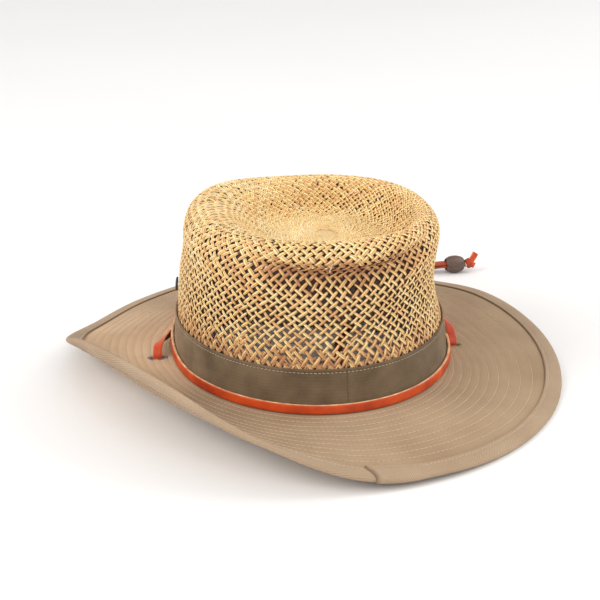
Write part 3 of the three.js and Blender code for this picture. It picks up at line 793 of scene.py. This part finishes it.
def make_knot():
    """Both lace ends tied behind the bead: a core, a turn round it and two short tails."""
    turns = np.radians(np.linspace(0, 400, 61))
    sine, cosine = math.sin(KNOT_TILT), math.cos(KNOT_TILT)
    tilt = np.array([[cosine, 0, sine], [0, 1, 0], [-sine, 0, cosine]])
    loop = np.stack([3.1 * np.cos(turns), 3.3 * np.sin(turns), 0.6 * (turns / TAU - 0.5)], 1) @ tilt.T
    wides = np.tile(tilt @ np.array([0, 0, 1.0]), (len(loop), 1))
    parts = [lace_strip(loop + KNOT_CENTRE, wides, 4.4, 1.5, 1, 1.0, 0.6)[0]]
    core = spline(np.array(KNOT_CORE) + KNOT_CENTRE, 14)
    parts.append(lace_strip(core, np.tile([0.1, 0.9, -0.4], (14, 1)), 5.2, 3.4, 1)[0])
    for points, wide, width, grain in KNOT_TAILS:
        centres = spline(np.array(points) + KNOT_CENTRE, 16)
        tangents = tangents_of(centres)
        wides = np.array(wide) - tangents * (tangents @ np.array(wide))[:, None]
        parts.append(lace_strip(centres, wides, width, 1.8, grain)[0])
    only(parts[0])
    for part in parts:
        part.select_set(True)
    bpy.ops.object.join()
    return finish_piece(bpy.context.object, "tied_knot", LEATHER, "lace_leather", "lace_knot")


bead, knot = make_bead(), make_knot()
for side, route, first_wide in (("left", LEFT_ROUTE, (1, 0, 0)), ("right", RIGHT_ROUTE, (-1, 0, 0))):
    strip, line, length = chin_lace(f"chin_lace_{side}", route, first_wide)
    path = placed(line)


# Lace around the crown

LEFT_RISE = [
    # x, y, z, lean
    (-104.3, -2.4, 14.5, 90), (-104.3, -2.2, 17.6, 90), (-103.8, -0.2, 20.6, 86), (-102.3, 5, 22.2, 70),
    (-99.6, 12.5, 21.8, 42), (-95.7, 22, 20.2, 18), (-91.4, 32.5, 18.8, 7),
]
RIGHT_FALL = [
    (92.9, 20, 25.6, 10), (94.6, 10, 26, 30), (95.9, 1, 25.4, 58), (96.4, -6.5, 23.4, 80),
    (96.5, -11.8, 19.8, 90), (96.5, -13.8, 16.6, 90), (96.5, -14, 14.1, 90),
]
LACE_LOW, LACE_HIGH = 18.7, 25.0


def make_crown_lace():
    angles = np.arange(236.25, -247.51, -11.25)
    share = share_of((-angles - 68) / (106 - 68))
    heights = LACE_LOW + (LACE_HIGH - LACE_LOW) * share ** 2 * (3 - 2 * share)
    wrap = band_face(angles, heights) + 1.5 * oval_outward(angles)
    wrap = np.hstack([wrap, np.full((len(wrap), 1), 5.0)])
    rows = np.vstack([LEFT_RISE, wrap, RIGHT_FALL])
    count = 8 * (len(rows) - 1) + 1
    centres = spline(rows[:, :3], count)
    lean = np.radians(np.interp(np.linspace(0, len(rows) - 1, count), np.arange(len(rows)), rows[:, 3]))
    outward = centres / (HEAD_WIDTH ** 2, HEAD_LENGTH ** 2, 1) * (1, 1, 0)
    wides = np.cos(lean)[:, None] * (0, 0, 1) - np.sin(lean)[:, None] * unit(outward)
    wides = squared(wides, tangents_of(centres))
    finish_piece(lace_strip(centres, wides)[0], "crown_lace_strip", LEATHER, "lace_leather", "crown_lace")


make_crown_lace()


# Threads: many small stitches in one piece

STITCH_PITCH, QUILT_PITCH = 2.6, 3.3


def copies_of(base, count):
    """The base piece repeated in its own mesh, one copy after the other."""
    only(base)
    copies = base.modifiers.new("copies", "ARRAY")
    copies.use_relative_offset = False
    copies.use_constant_offset = True
    copies.constant_offset_displace = (0, 0, 0)
    copies.count = count
    bpy.ops.object.modifier_apply(modifier="copies")


def stitches(name, rows, size, material, slot):
    """One thread dash at every place of rows: (middle, direction along, direction up)."""
    bpy.ops.mesh.primitive_uv_sphere_add(segments=5, ring_count=4, radius=1)
    piece = bpy.context.object
    dash = mesh_points(piece.data)[:, [2, 0, 1]] * np.array(size) / 2
    middles, alongs, ups = (np.vstack(part) for part in zip(*rows))
    copies_of(piece, len(middles))
    turn = dice.normal(0, 0.035, (len(middles), 1))
    ups = unit(ups)
    sides = unit(np.cross(ups, alongs))
    alongs = unit(alongs + turn * sides)
    stretch = dice.uniform(0.88, 1.05, (len(middles), 1))
    points = (middles[:, None] + dash[None, :, :1] * (alongs * stretch)[:, None]
              + dash[None, :, 1:2] * sides[:, None] + dash[None, :, 2:] * ups[:, None])
    set_points(piece.data, placed(points.reshape(-1, 3)))
    bpy.ops.object.shade_smooth()
    return finish_piece(piece, name, material, slot)


def along_line(points, ups, pitch, skip=()):
    """Places evenly along a closed or open line, leaving out those near the skipped points."""
    steps = walked_along(points)
    count = int(steps[-1] / pitch)
    places = (np.arange(count) + 0.5) * steps[-1] / count

    middles, alongs, tops = (read_off(places, steps, rows) for rows in (points, tangents_of(points), ups))
    keep = np.ones(count, bool)
    for x, y, reach in skip:
        keep &= np.hypot(middles[:, 0] - x, middles[:, 1] - y) > reach
    return middles[keep], alongs[keep], tops[keep]


# Brim: two layers of canvas quilted together by rings of stitching

EVEN_ROWS = 19.0 + 5.65 * np.arange(10)
ROW_PLAN = np.array([
    # angle, then the distance of each stitch row in from the edge
    (-60, *EVEN_ROWS),
    (-18, 15.8, 22.0, 28.7, 35.2, 41.5, 46.9, 52.0, 57.8, 63.9, 69.6),
    (-10, 16.3, 22.6, 28.8, 35.1, 41.3, 46.7, 51.7, 57.8, 63.9, 69.5),
    (0, 19.0, 24.9, 30.7, 36.4, 41.9, 47.4, 52.6, 58.5, 64.4, 69.7),
    (30, 18.5, 24.7, 30.5, 36.1, 41.8, 47.4, 52.8, 58.6, 64.4, 69.7),
    (45, 17.0, 23.6, 29.8, 36.2, 42.2, 48.3, 53.8, 59.7, 65.5, 70.5),
    (60, 17.9, 25.3, 32.6, 39.3, 45.8, 52.0, 57.3, 63.2, 68.9, 73.6),
    (75, 20.9, 30.0, 37.8, 45.2, 52.1, 58.5, 63.9, 69.5, 73.8, 76.6),
    (90, 24.8, 35.2, 43.8, 51.9, 59.5, 66.7, 71.6, 75.2, 76.4, 77.3),
    (107, 27.5, 39.0, 49.8, 58.0, 65.5, 71.4, 74.6, 76.0, 76.8, 77.5),
    (180, *EVEN_ROWS),
])
SLOTS = {"left": (-104.3, -2.4), "right": (96.5, -14.0)}
SLOT_LENGTH, SLOT_WIDTH, SLOT_ROUNDING = 10.5, 3.2, 1.59
SLOT_CLEAR = 7.2
QUILT_START, QUILT_END = 12.6, 78.5


def stitch_rows(angles):
    """How far each stitch row runs in from the edge at these angles."""
    around = np.asarray(angles, float)[:, None] + np.arange(-8, 9)
    rows = [np.interp(around, ROW_PLAN[:, 0], row, period=360).mean(1) for row in ROW_PLAN.T[1:]]
    return np.stack(rows, 1)


def brim_section(angles):
    """Distances in from the edge with the half thickness there: quilted between the stitch rows."""
    ones = np.ones((len(angles), 1))
    rows = np.hstack([QUILT_START * ones, stitch_rows(angles), QUILT_END * ones])
    gaps = np.diff(rows, axis=1)[..., None]
    share = np.array([0, 0.06, 0.14, 0.3, 0.5, 0.7, 0.86, 0.94])
    distances = (rows[:, :-1, None] + gaps * share).reshape(len(angles), -1)
    swell = np.minimum(1, gaps / 5) * (0.36 * np.sin(math.pi * share) ** 0.6 - 0.2)
    edge = np.array([(1.3, 0.4), (1.6, 0.6), (6.0, 0.6), (11.0, 0.6), (11.7, 0.75)])
    distances = np.hstack([edge[:, 0] * ones, distances, QUILT_END * ones])
    half = np.hstack([edge[:, 1] * ones, BRIM_WALL / 2 + swell.reshape(len(angles), -1), 0.8 * ones])
    return distances[:, ::-1], half[:, ::-1]


def make_brim():
    distances, half = brim_section(np.arange(361))
    loop_distance = np.hstack([distances, distances[:, ::-1], distances[:, :1]])
    loop_height = np.hstack([half, -half[:, ::-1], half[:, :1]])
    rows = loop_distance.shape[1] - 1

    def place(u, v):
        i, j = nearest(u, 360), nearest(v, rows)
        return brim_offset(360 * u, 1 - loop_distance[i, j] / BRIM_SLANT, 0 * u, loop_height[i, j])

    # Painted light on the curled-up left of the brim, given through the pale mark
    def painted_light_on_curl(u, v):
        return share_of(1.5 - np.abs(360 * u - 262) / 30)

    piece = carried_grid(360, rows, place, (0.8, 0.16), {"pale": painted_light_on_curl})
    for x, y in SLOTS.values():
        bpy.ops.mesh.primitive_cube_add(size=1)
        cutter = bpy.context.object
        centre = placed([x, y, BRIM_TOP])
        corners = mesh_points(cutter.data) * (SLOT_LENGTH * MM, SLOT_WIDTH * MM, 0.02)
        set_points(cutter.data, corners + centre)
        rounding = cutter.modifiers.new("rounding", "BEVEL")
        rounding.width, rounding.segments, rounding.affect = SLOT_ROUNDING * MM, 5, "EDGES"
        bpy.ops.object.modifier_apply(modifier="rounding")
        only(piece)
        cut = piece.modifiers.new("slot", "BOOLEAN")
        cut.operation, cut.object, cut.solver = "DIFFERENCE", cutter, "EXACT"
        bpy.ops.object.modifier_apply(modifier="slot")
        bpy.data.objects.remove(cutter)
    finish_piece(piece, "brim_canvas_sheet", BRIM_CANVAS, "brim_canvas", "brim")

    skip = [(x, y, SLOT_CLEAR) for x, y in SLOTS.values()]
    angles = np.linspace(0, 360, 1441)
    for side, face in ((1, "top"), (-1, "under")):
        lines = []
        for distance in stitch_rows(angles).T:
            share = 1 - distance / BRIM_SLANT
            points = brim_offset(angles, share, 0 * angles, side * (BRIM_WALL / 2 - 0.02) + 0 * angles)
            line = along_line(points, side * brim_frame(angles, share)[2], QUILT_PITCH, skip)
            clear = np.hypot(line[0][:, 0] / HEAD_WIDTH, line[0][:, 1] / HEAD_LENGTH) > 1.012
            lines.append(tuple(part[clear] for part in line))
        stitches(f"brim_stitches_{face}", lines, (3.35, 0.62, 0.4), TAN_THREAD, "brim_canvas")


make_brim()


# Cloth folded over the brim's edge, with an overlapped join at the front

BINDING_TOP = [
    # distance in from the edge, height above the middle
    (10.6, 0.95), (11.2, 1.12), (11.35, 1.6), (11.0, 2.04), (10.4, 2.16), (9.9, 2.0), (9.5, 1.72),
    (9.1, 1.72), (8.7, 1.9), (7.5, 2.0), (5.5, 2.05), (3.6, 2.0), (2.2, 1.88), (1.1, 1.5),
    (0.35, 0.9), (0.0, 0.0),
]
JOIN_ANGLE = 1.8
SHEET_EDGE = 1.3
BINDING_SEAM = 9.3


def binding_section():
    top = np.array(BINDING_TOP)
    under = top[-2::-1] * (1, -1)
    inside = np.array([(1.7, -0.9), (1.2, 0), (1.7, 0.9)])
    return np.vstack([top, under, inside, top[:1]])


def make_binding():
    section = binding_section()
    rows = len(section) - 1
    even = np.linspace(0, 360, 421)
    near = JOIN_ANGLE + np.array([-0.5, -0.3, -0.15, -0.05, 0.05, 0.15, 0.3, 0.5])
    angles = np.sort(np.concatenate([even[np.abs(even - JOIN_ANGLE) > 0.6], near]))
    last = len(angles) - 1

    def place(u, v):
        i, j = nearest(u, last), nearest(v, rows)
        distance, height = section[j].T
        angle = angles[i]
        past = turn_from(JOIN_ANGLE, angle)
        bend = hill(past, 2.2) * (share_of(distance / 11) ** 2 - 0.2) * -1.8
        over = share_of(past / 0.12 + 0.5) * share_of((12 - past) / 6)
        dent = hill(past + 0.25, 0.2)
        raised = height * (1 + 0.55 * over - 0.12 * dent)
        share = 1 - np.maximum(distance, SHEET_EDGE) / BRIM_SLANT
        outward = np.maximum(0, SHEET_EDGE - distance) * (1 + 0.5 * over)
        points = brim_offset(angle + bend, share, outward, raised)
        points[:, 2] = np.maximum(points[:, 2], 0)
        return points

    def past_join(u):
        return turn_from(JOIN_ANGLE, angles[nearest(u, last)])

    marks = {
        "left": lambda u, v: past_join(u) < 0,
        # Painted shadow along the join's overlap, for the binding's colour
        "painted_join_shadow": lambda u, v: hill(past_join(u) + 0.1, 0.16),
    }
    walked = walked_along(section) * MM
    piece = carried_grid(last, rows, place, (1.08, walked), marks)
    finish_piece(piece, "edge_binding", BINDING_TWILL, "binding_twill", "brim_binding")

    fine = np.linspace(0, 360, 1441)
    share = 1 - BINDING_SEAM / BRIM_SLANT
    for side, face, thread in ((1, "top", PALE_THREAD), (-1, "under", BROWN_THREAD)):
        points = brim_offset(fine, share, 0 * fine, 0 * fine + side * 1.8)
        line = along_line(points, side * brim_frame(fine, share)[2], STITCH_PITCH)
        stitches(f"binding_stitches_{face}", [line], (2.1, 0.42, 0.3), thread, "binding_twill")


make_binding()


# Thread worked round each slot in the brim

# Nearly the crown's half width at the slots, to turn a share of it into millimetres
SLOT_REACH = 95
SLOT_TURNS, STEPS_PER_TURN = 46, 6


def make_slot_edge(name, x, y, material):
    half = (SLOT_LENGTH - SLOT_WIDTH) / 2

    def outline(u, reach):
        """The slot's outline moved outwards: two straights and two half rounds."""
        straight, arc = 2 * half, math.pi * SLOT_WIDTH / 2
        walked = (u % 1) * 2 * (straight + arc)
        on_right = walked < straight + arc
        step = np.where(on_right, walked, walked - straight - arc)
        turn = share_of((step - straight) / arc) * math.pi
        edge_x = np.where(step < straight, step - half, half + (SLOT_WIDTH / 2 + reach) * np.sin(turn))
        edge_y = np.where(step < straight, SLOT_WIDTH / 2 + reach, (SLOT_WIDTH / 2 + reach) * np.cos(turn))
        sign = np.where(on_right, 1, -1)
        return sign * edge_x, sign * edge_y

    def place(u, v):
        turn = TAU * v
        ridge = 1 + 0.12 * np.cos(TAU * SLOT_TURNS * u)
        reach = 1.0 + 1.15 * np.cos(turn) * ridge
        edge_x, edge_y = outline(u, reach)
        edge_x, edge_y = x + edge_x, y + edge_y
        height = 1.32 * np.sign(np.sin(turn)) * np.abs(np.sin(turn)) ** 0.7 * ridge
        angle = np.degrees(np.arctan2(edge_x / HEAD_WIDTH, -edge_y / HEAD_LENGTH))
        share = (np.hypot(edge_x / HEAD_WIDTH, edge_y / HEAD_LENGTH) - 1) * SLOT_REACH / BRIM_SLANT
        return np.stack([edge_x, edge_y, brim_middle(angle, share)[:, 2] + height], -1)

    piece = carried_grid(STEPS_PER_TURN * SLOT_TURNS, 12, place, (0.026, 0.008))
    return finish_piece(piece, name, material, "brim_canvas")


make_slot_edge("slot_thread_left", *SLOTS["left"], PURPLE_THREAD)
make_slot_edge("slot_thread_right", *SLOTS["right"], GREEN_THREAD)


# Canvas band around the foot of the crown, and the sweatband inside it

CLOTH_WALL, HEM = 1.2, 2.3
NEAR_SEAM = np.array([-0.9, -0.5, -0.25, -0.1, 0, 0.1, 0.25, 0.5, 0.9])


def cloth_wall(name, bottom, top, outset, seams, material, slot, node):
    """A standing band of cloth with hemmed edges and upright seams."""
    heights = np.array([bottom, bottom + 0.4, bottom + 1.4, (bottom + top) / 2, top - 3.3, top - 2.6,
                        top - HEM, top - 2.0, top - 1.2, top - 0.5, top - 0.1])
    swell = np.array([-0.3, -0.05, 0, 0, 0, -0.05, -0.25, -0.05, 0.05, -0.05, -0.35])
    loop_height = np.concatenate([heights, heights[::-1], heights[:1]])
    loop_out = np.concatenate([swell, -CLOTH_WALL - swell[::-1], swell[:1]])
    angles = np.concatenate([np.linspace(0, 360, 241), *[seam + NEAR_SEAM for seam in seams]])
    angles = np.unique(np.clip(angles, 0, 360))
    last, rows = len(angles) - 1, len(loop_height) - 1

    def place(u, v):
        i, j = nearest(u, last), nearest(v, rows)
        angle, out = angles[i], loop_out[j]
        for seam in seams:
            dent, bulge = hill(angle - seam, 0.22) * 0.45, hill(angle - seam - 0.9, 0.6) * 0.2
            out = out + np.where(out > -CLOTH_WALL / 2, bulge - dent, 0)
        wave = 0.12 * np.sin(np.radians(angle) * 7 + 1.3) * np.sin(loop_height[j] * 0.12)
        out = outset + out + wave * (out > -CLOTH_WALL / 2)
        return band_face(angle, loop_height[j]) + oval_outward(angle) * out[:, None]

    # Painted sheen on the cloth's sides, given through the pale mark
    def painted_sheen_at_sides(u, v):
        return share_of((np.abs(np.sin(np.radians(angles[nearest(u, last)]))) - 0.82) / 0.15)

    piece = carried_grid(last, rows, place, (0.62, 2 * (top - bottom) * MM), {"pale": painted_sheen_at_sides})
    finish_piece(piece, name, material, slot, node)
    angles = np.linspace(0, 360, 1441)
    side = 1 if outset >= 0 else -1
    at = 0.0 if outset >= 0 else outset - CLOTH_WALL
    points = band_face(angles, top - HEM) + oval_outward(angles) * (at - 0.1 * side)
    line = along_line(points, side * oval_outward(angles), STITCH_PITCH)
    stitches(name + "_stitches", [line], (2.0, 0.4, 0.36), PALE_THREAD, slot)


cloth_wall("band_cloth", BAND_BOTTOM, BAND_TOP, 0.0, (3.5, 68.0), BAND_CANVAS, "band_canvas", "crown_band")
cloth_wall("sweatband_cloth", 13.0, 43.5, -3.8, (183.0,), SWEAT_CLOTH, "sweat_cloth", "sweatband")


# Crown: two families of straw strands, over and under each other

STRANDS = 90
LONG_END, SHORT_END = 15.5, 14.4
SHOULDER_ANGLE, CREASE_ROW = 245, 6.1
WEAVE_DEPTH, WEAVE_SWAY = 0.8, 0.4
ROW_STEPS, TURN_STEPS = 640, 720
WEAVE_ROWS = np.linspace(0, LAST_ROW, ROW_STEPS + 1)
WEAVE_TURNS = np.linspace(0, 360, TURN_STEPS + 1)

# How steeply the strands climb, and how much of their spacing they fill, along the crown's rows
WEAVE_RUN = np.array([
    # row, steepness in degrees, width as a share of the spacing
    (0, 60, 0.36), (2, 58, 0.38), (2.8, 48, 0.4), (3.3, 41, 0.4), (4, 39, 0.41), (5, 39, 0.44),
    (5.5, 39, 0.5), (6, 40, 0.56), (7, 41, 0.58), (9, 41, 0.62), (11, 42, 0.66), (13, 45, 0.74),
    (16, 45, 0.85),
])


def weave_tables():
    grid = crown_point(WEAVE_TURNS[None, :], WEAVE_ROWS[:, None])
    steps = np.linalg.norm(np.diff(grid, axis=1), axis=2)
    walked = np.hstack([np.zeros((len(grid), 1)), np.cumsum(steps, axis=1)])
    length = np.maximum(walked[:, -1:], 1e-6)
    even = np.stack([np.interp(WEAVE_TURNS, row, WEAVE_TURNS) for row in walked / length * 360])
    rise = np.linalg.norm(np.diff(grid, axis=0), axis=2).mean(1)
    radius = length[:, 0] / TAU
    steep = np.radians(np.interp(WEAVE_ROWS, WEAVE_RUN[:, 0], WEAVE_RUN[:, 1]))
    turn = rise / np.tan((steep[1:] + steep[:-1]) / 2) / np.maximum((radius[1:] + radius[:-1]) / 2, 1.0)
    return even, np.concatenate([[0], np.cumsum(turn)]), radius


EVEN_ANGLES, TURNED, RADII = weave_tables()


def even_angle(turn, row):
    """The crown's own angle where an evenly spaced strand at this turn stands in this row."""
    whole = np.floor(turn / 360) * 360
    rows, turns = row / LAST_ROW * ROW_STEPS, turn % 360 * (TURN_STEPS / 360)
    i = np.clip(rows.astype(int), 0, ROW_STEPS - 1)
    j = np.clip(turns.astype(int), 0, TURN_STEPS - 1)
    f, g = rows - i, turns - j
    low = EVEN_ANGLES[i, j] * (1 - g) + EVEN_ANGLES[i, j + 1] * g
    high = EVEN_ANGLES[i + 1, j] * (1 - g) + EVEN_ANGLES[i + 1, j + 1] * g
    return low * (1 - f) + high * f + whole


STRAND_SECTION = np.array([(-1, 0), (-0.6, 0.8), (0.6, 0.8), (1, 0), (0.6, -0.8), (-0.6, -0.8), (-1, 0)])


def straw_strands(name, starts, lean, first_row, last_rows, depth, sway, tones,
                  width_share=1.0, thickness=0.76, first_over=1):
    """Strands that climb the crown from these turns; lean is +1 or -1 for the way they slope."""
    count = len(starts)
    first, last = np.interp(first_row, WEAVE_ROWS, TURNED), np.interp(last_rows, WEAVE_ROWS, TURNED)
    steps = int(np.ceil((last.max() - first) * STRANDS / math.pi * (3 if sway > 0 else 1))) + 2
    rings = len(STRAND_SECTION) - 1
    bpy.ops.mesh.primitive_grid_add(x_subdivisions=steps, y_subdivisions=rings, size=2)
    piece = bpy.context.object
    flat = mesh_points(piece.data)
    i = nearest((flat[:, 0] + 1) / 2, steps)
    j = nearest((flat[:, 1] + 1) / 2, rings)
    scale_map(piece.data, *STRAND_MAP)
    copies_of(piece, count)

    share = np.clip(np.arange(-1, steps), 0, steps - 2) / (steps - 2)
    u = first + (last - first)[:, None] * share[None, :]
    row = np.interp(u, TURNED, WEAVE_ROWS)
    phase = dice.uniform(0, TAU, (count, 4))
    drift = (0.4 * np.sin(u * 21 + phase[:, :1]) + 0.3 * np.sin(u * 47 + phase[:, 1:2])
             + 0.45 * np.sin(u * 6 + phase[:, 2:3]))
    radius = np.interp(row, WEAVE_ROWS, RADII)
    turn = starts[:, None] + lean * np.degrees(u) + np.degrees(drift / np.maximum(radius, 12))
    angle = even_angle(turn, row)
    normal = crown_normal(angle, row)
    over = lean * first_over * np.cos(STRANDS * u)
    centre = crown_point(angle, row) + normal * (sway * over - depth)[..., None]
    tangent = unit(np.gradient(centre, axis=1))
    tangent[:, 0], tangent[:, -1] = tangent[:, 1], tangent[:, -2]
    across = unit(np.cross(normal, tangent))
    lift = unit(np.cross(tangent, across))
    steep = np.radians(np.interp(row, WEAVE_RUN[:, 0], WEAVE_RUN[:, 1]))
    pitch = TAU * radius / STRANDS * np.sin(steep)
    from_front, from_shoulder = np.abs(turn_from(0, angle)), np.abs(turn_from(SHOULDER_ANGLE, angle))
    beside = 0.08 * share_of((from_front - 30) / 50) * share_of((6 - row) / 1.5)
    shoulder = 0.16 * share_of(1.6 - from_shoulder / 45) * share_of(row - 7)
    filled = np.interp(row, WEAVE_RUN[:, 0], WEAVE_RUN[:, 2]) + beside * (row > 2.6) + shoulder
    lone = 1 + share_of((row - SHORT_END) / 0.25)
    half = pitch * filled * lone / 2 * width_share
    half = half * (1 + 0.12 * np.sin(u * 13 + phase[:, 3:])) * (1 + 0.12 * over * (sway > 0))
    half[:, 0] = half[:, -1] = 0
    thick = np.where(half > 0, thickness / 2, 0)
    w, t = STRAND_SECTION[j].T
    points = (centre[:, i] + across[:, i] * (half[:, i] * w)[..., None]
              + lift[:, i] * (thick[:, i] * t)[..., None])
    set_points(piece.data, placed(points.reshape(-1, 3)))
    front_crease_shade = share_of(1.4 - from_front / 38)
    shade = tones[:, None] - 0.3 * share_of((3.1 - row) / 1.1) + 0.9 * shoulder
    shade = shade + 0.14 * share_of((row - 11.5) / 2)
    # Painted shade: strands darker in the crease across the front, where the crease is in shadow
    shade = shade - 0.6 * front_crease_shade * hill(row - CREASE_ROW, 0.7)
    set_mark(piece.data, "tone", share_of(shade[:, i]))
    # Painted shade where a strand dips under its neighbour, less near the top and on the shoulder; on the
    # inner layer every outward face is painted fully dark
    quiet = 1 - share_of((row - 12) / 1.5) * dice.uniform(0.25, 1, (count, 1)) - 1.6 * shoulder
    under = share_of(0.5 - 0.5 * over) * quiet
    set_mark(piece.data, "under", under[:, i] if sway > 0 else np.tile(t >= 0, (count, 1)))
    weld()
    return finish_piece(piece, name, STRAW, "straw", "crown_wall", "crown_top")


def make_crown():
    half_count = STRANDS // 2
    pair = 360 / half_count
    for lean, way in ((1, "left"), (-1, "right")):
        for length, offset, last_row in (("long", 0, LONG_END), ("short", pair / 2, SHORT_END)):
            starts = np.arange(half_count) * pair + offset + dice.normal(0, 0.2, half_count)
            tones = np.clip(dice.normal(0.54, 0.18, half_count), 0.12, 0.8)
            ends = last_row + dice.uniform(-0.05, 0.05, half_count)
            straw_strands(f"straw_{way}_{length}", starts, lean, 1.55, ends, WEAVE_DEPTH, WEAVE_SWAY, tones)
        foot_count = 2 * STRANDS
        starts = (np.arange(foot_count) + 0.5) * 360 / foot_count + dice.normal(0, 0.45, foot_count)
        tones = share_of(dice.normal(0.24, 0.22, foot_count))
        ends = dice.uniform(2.0, 3.3, foot_count)
        straw_strands(f"foot_straw_{way}", starts, lean, 1.6, ends, WEAVE_DEPTH, WEAVE_SWAY, tones,
                      width_share=0.55, thickness=0.6, first_over=-1)
        # A thin inner layer of straw whose outward faces are painted dark brown as shade, so that the holes
        # look dark from outside
        starts = (np.arange(STRANDS) + 0.5) * 360 / STRANDS
        ends, tones = np.full(STRANDS, 13.6), np.full(STRANDS, 0.3)
        straw_strands(f"inner_straw_painted_shade_{way}", starts, lean, 3.75, ends, 1.8, 0, tones,
                      width_share=1.1, thickness=0.3)


make_crown()


BUTTON_CENTRE, BUTTON_REACH = (11, 4, 94.0), 10.5


def make_button():
    """The small tight middle of the crown's top, where the strands meet."""
    def twist(u, v, way):
        return np.cos(TAU * u * 22 + way * 26 * np.sqrt(v))

    def place(u, v):
        reach = BUTTON_REACH * v
        ripple = 0.1 * twist(u, v, 1) * twist(u, v, -1) * np.sin(math.pi * v)
        x, y, z = BUTTON_CENTRE
        x = x + reach * 0.95 * np.sin(TAU * u)
        y = y - reach * 1.12 * np.cos(TAU * u)
        return np.stack([x, y, z - 0.9 * v ** 2 + ripple], -1)

    marks = {
        "tone": lambda u, v: share_of(dice.normal(0.62, 0.16, u.shape)),
        # Painted shade: dark flecks between the button's strands, by the under mark
        "under": lambda u, v: 0.6 + 0.3 * dice.uniform(0, 1, u.shape) ** 2,
    }
    piece = carried_grid(220, 30, place, (0.01, 0.00001), marks)
    finish_piece(piece, "crown_button", STRAW, "straw", "crown_top")


make_button()


# Angle and row of each pale chip of split straw, put in the crease as painted glints, and of the loose
# tuft's foot, middle and top
GLINT_CHIPS = np.array([(-31.0, 6.12), (-29.2, 6.2), (-16.0, 6.6), (-14.0, 6.33), (-10.0, 6.37), (-8.6, 6.42),
                  (-3.6, 6.36), (-50.2, 7.15), (-36.8, 6.4), (12.0, 6.2), (24.0, 6.05)])
TUFT_FOOT, TUFT_MIDDLE, TUFT_TOP = np.array([[[-2.0], [6.05]], [[-2.0], [6.3]], [[-1.6], [6.75]]])
TUFT_STRAWS = 9


def make_glint_chips_and_tuft():
    """Pale chips of split straw in the crease, standing in for glints as a painted highlight, and one loose
    tuft.
    """
    angles, rows = GLINT_CHIPS.T
    ups = crown_normal(angles, rows)
    around = crown_point(angles + 1, rows) - crown_point(angles - 1, rows)
    alongs = unit(around + dice.normal(0, 1.2, (len(rows), 3)))
    chips = (crown_point(angles, rows) + ups * 0.15, alongs, ups)
    bottom, top, out = crown_point(*TUFT_FOOT), crown_point(*TUFT_TOP), crown_normal(*TUFT_MIDDLE)
    lean = dice.normal(0, 0.45, (TUFT_STRAWS, 3))
    height = dice.uniform(0.1, 0.9, (TUFT_STRAWS, 1))
    middles = bottom + (top - bottom) * height + out * 0.7 + lean
    tuft = (middles, unit(unit(top - bottom) + lean * 0.5), out + 0 * lean)
    stitches("glint_chips_and_tuft", [chips, tuft], (2.3, 0.75, 0.55), SPLIT_STRAW, "straw")


make_glint_chips_and_tuft()


# Stud on the left of the crown

STUD_PLACE = (260.0, 3.1)
STUD_OUTLINE = [
    (0.01, 0), (4.4, 0), (4.75, 0.3), (4.8, 0.7), (4.5, 1.15), (3.6, 1.45), (2.0, 1.6), (0.01, 1.65)]


def make_stud():
    normal = crown_normal(*STUD_PLACE)
    piece = profile_spin(STUD_OUTLINE, 36)
    turned_towards(piece, normal, crown_point(*STUD_PLACE) + normal * 0.3)
    finish_piece(piece, "round_stud", STUD, "stud_metal", "side_stud")


make_stud()


# Floor, and even light from all round

def make_floor():
    bpy.ops.mesh.primitive_plane_add(size=12)
    floor = bpy.context.object
    floor.name = "floor"
    floor.data.materials.append(floor_material())
    world = bpy.data.worlds.new("studio")
    world.use_nodes = True
    light = world.node_tree.nodes["Background"].inputs
    light["Color"].default_value, light["Strength"].default_value = (1, 1, 1, 1), 0.76
    bpy.context.scene.world = world
    bpy.context.scene.view_settings.view_transform = "Standard"


make_floor()
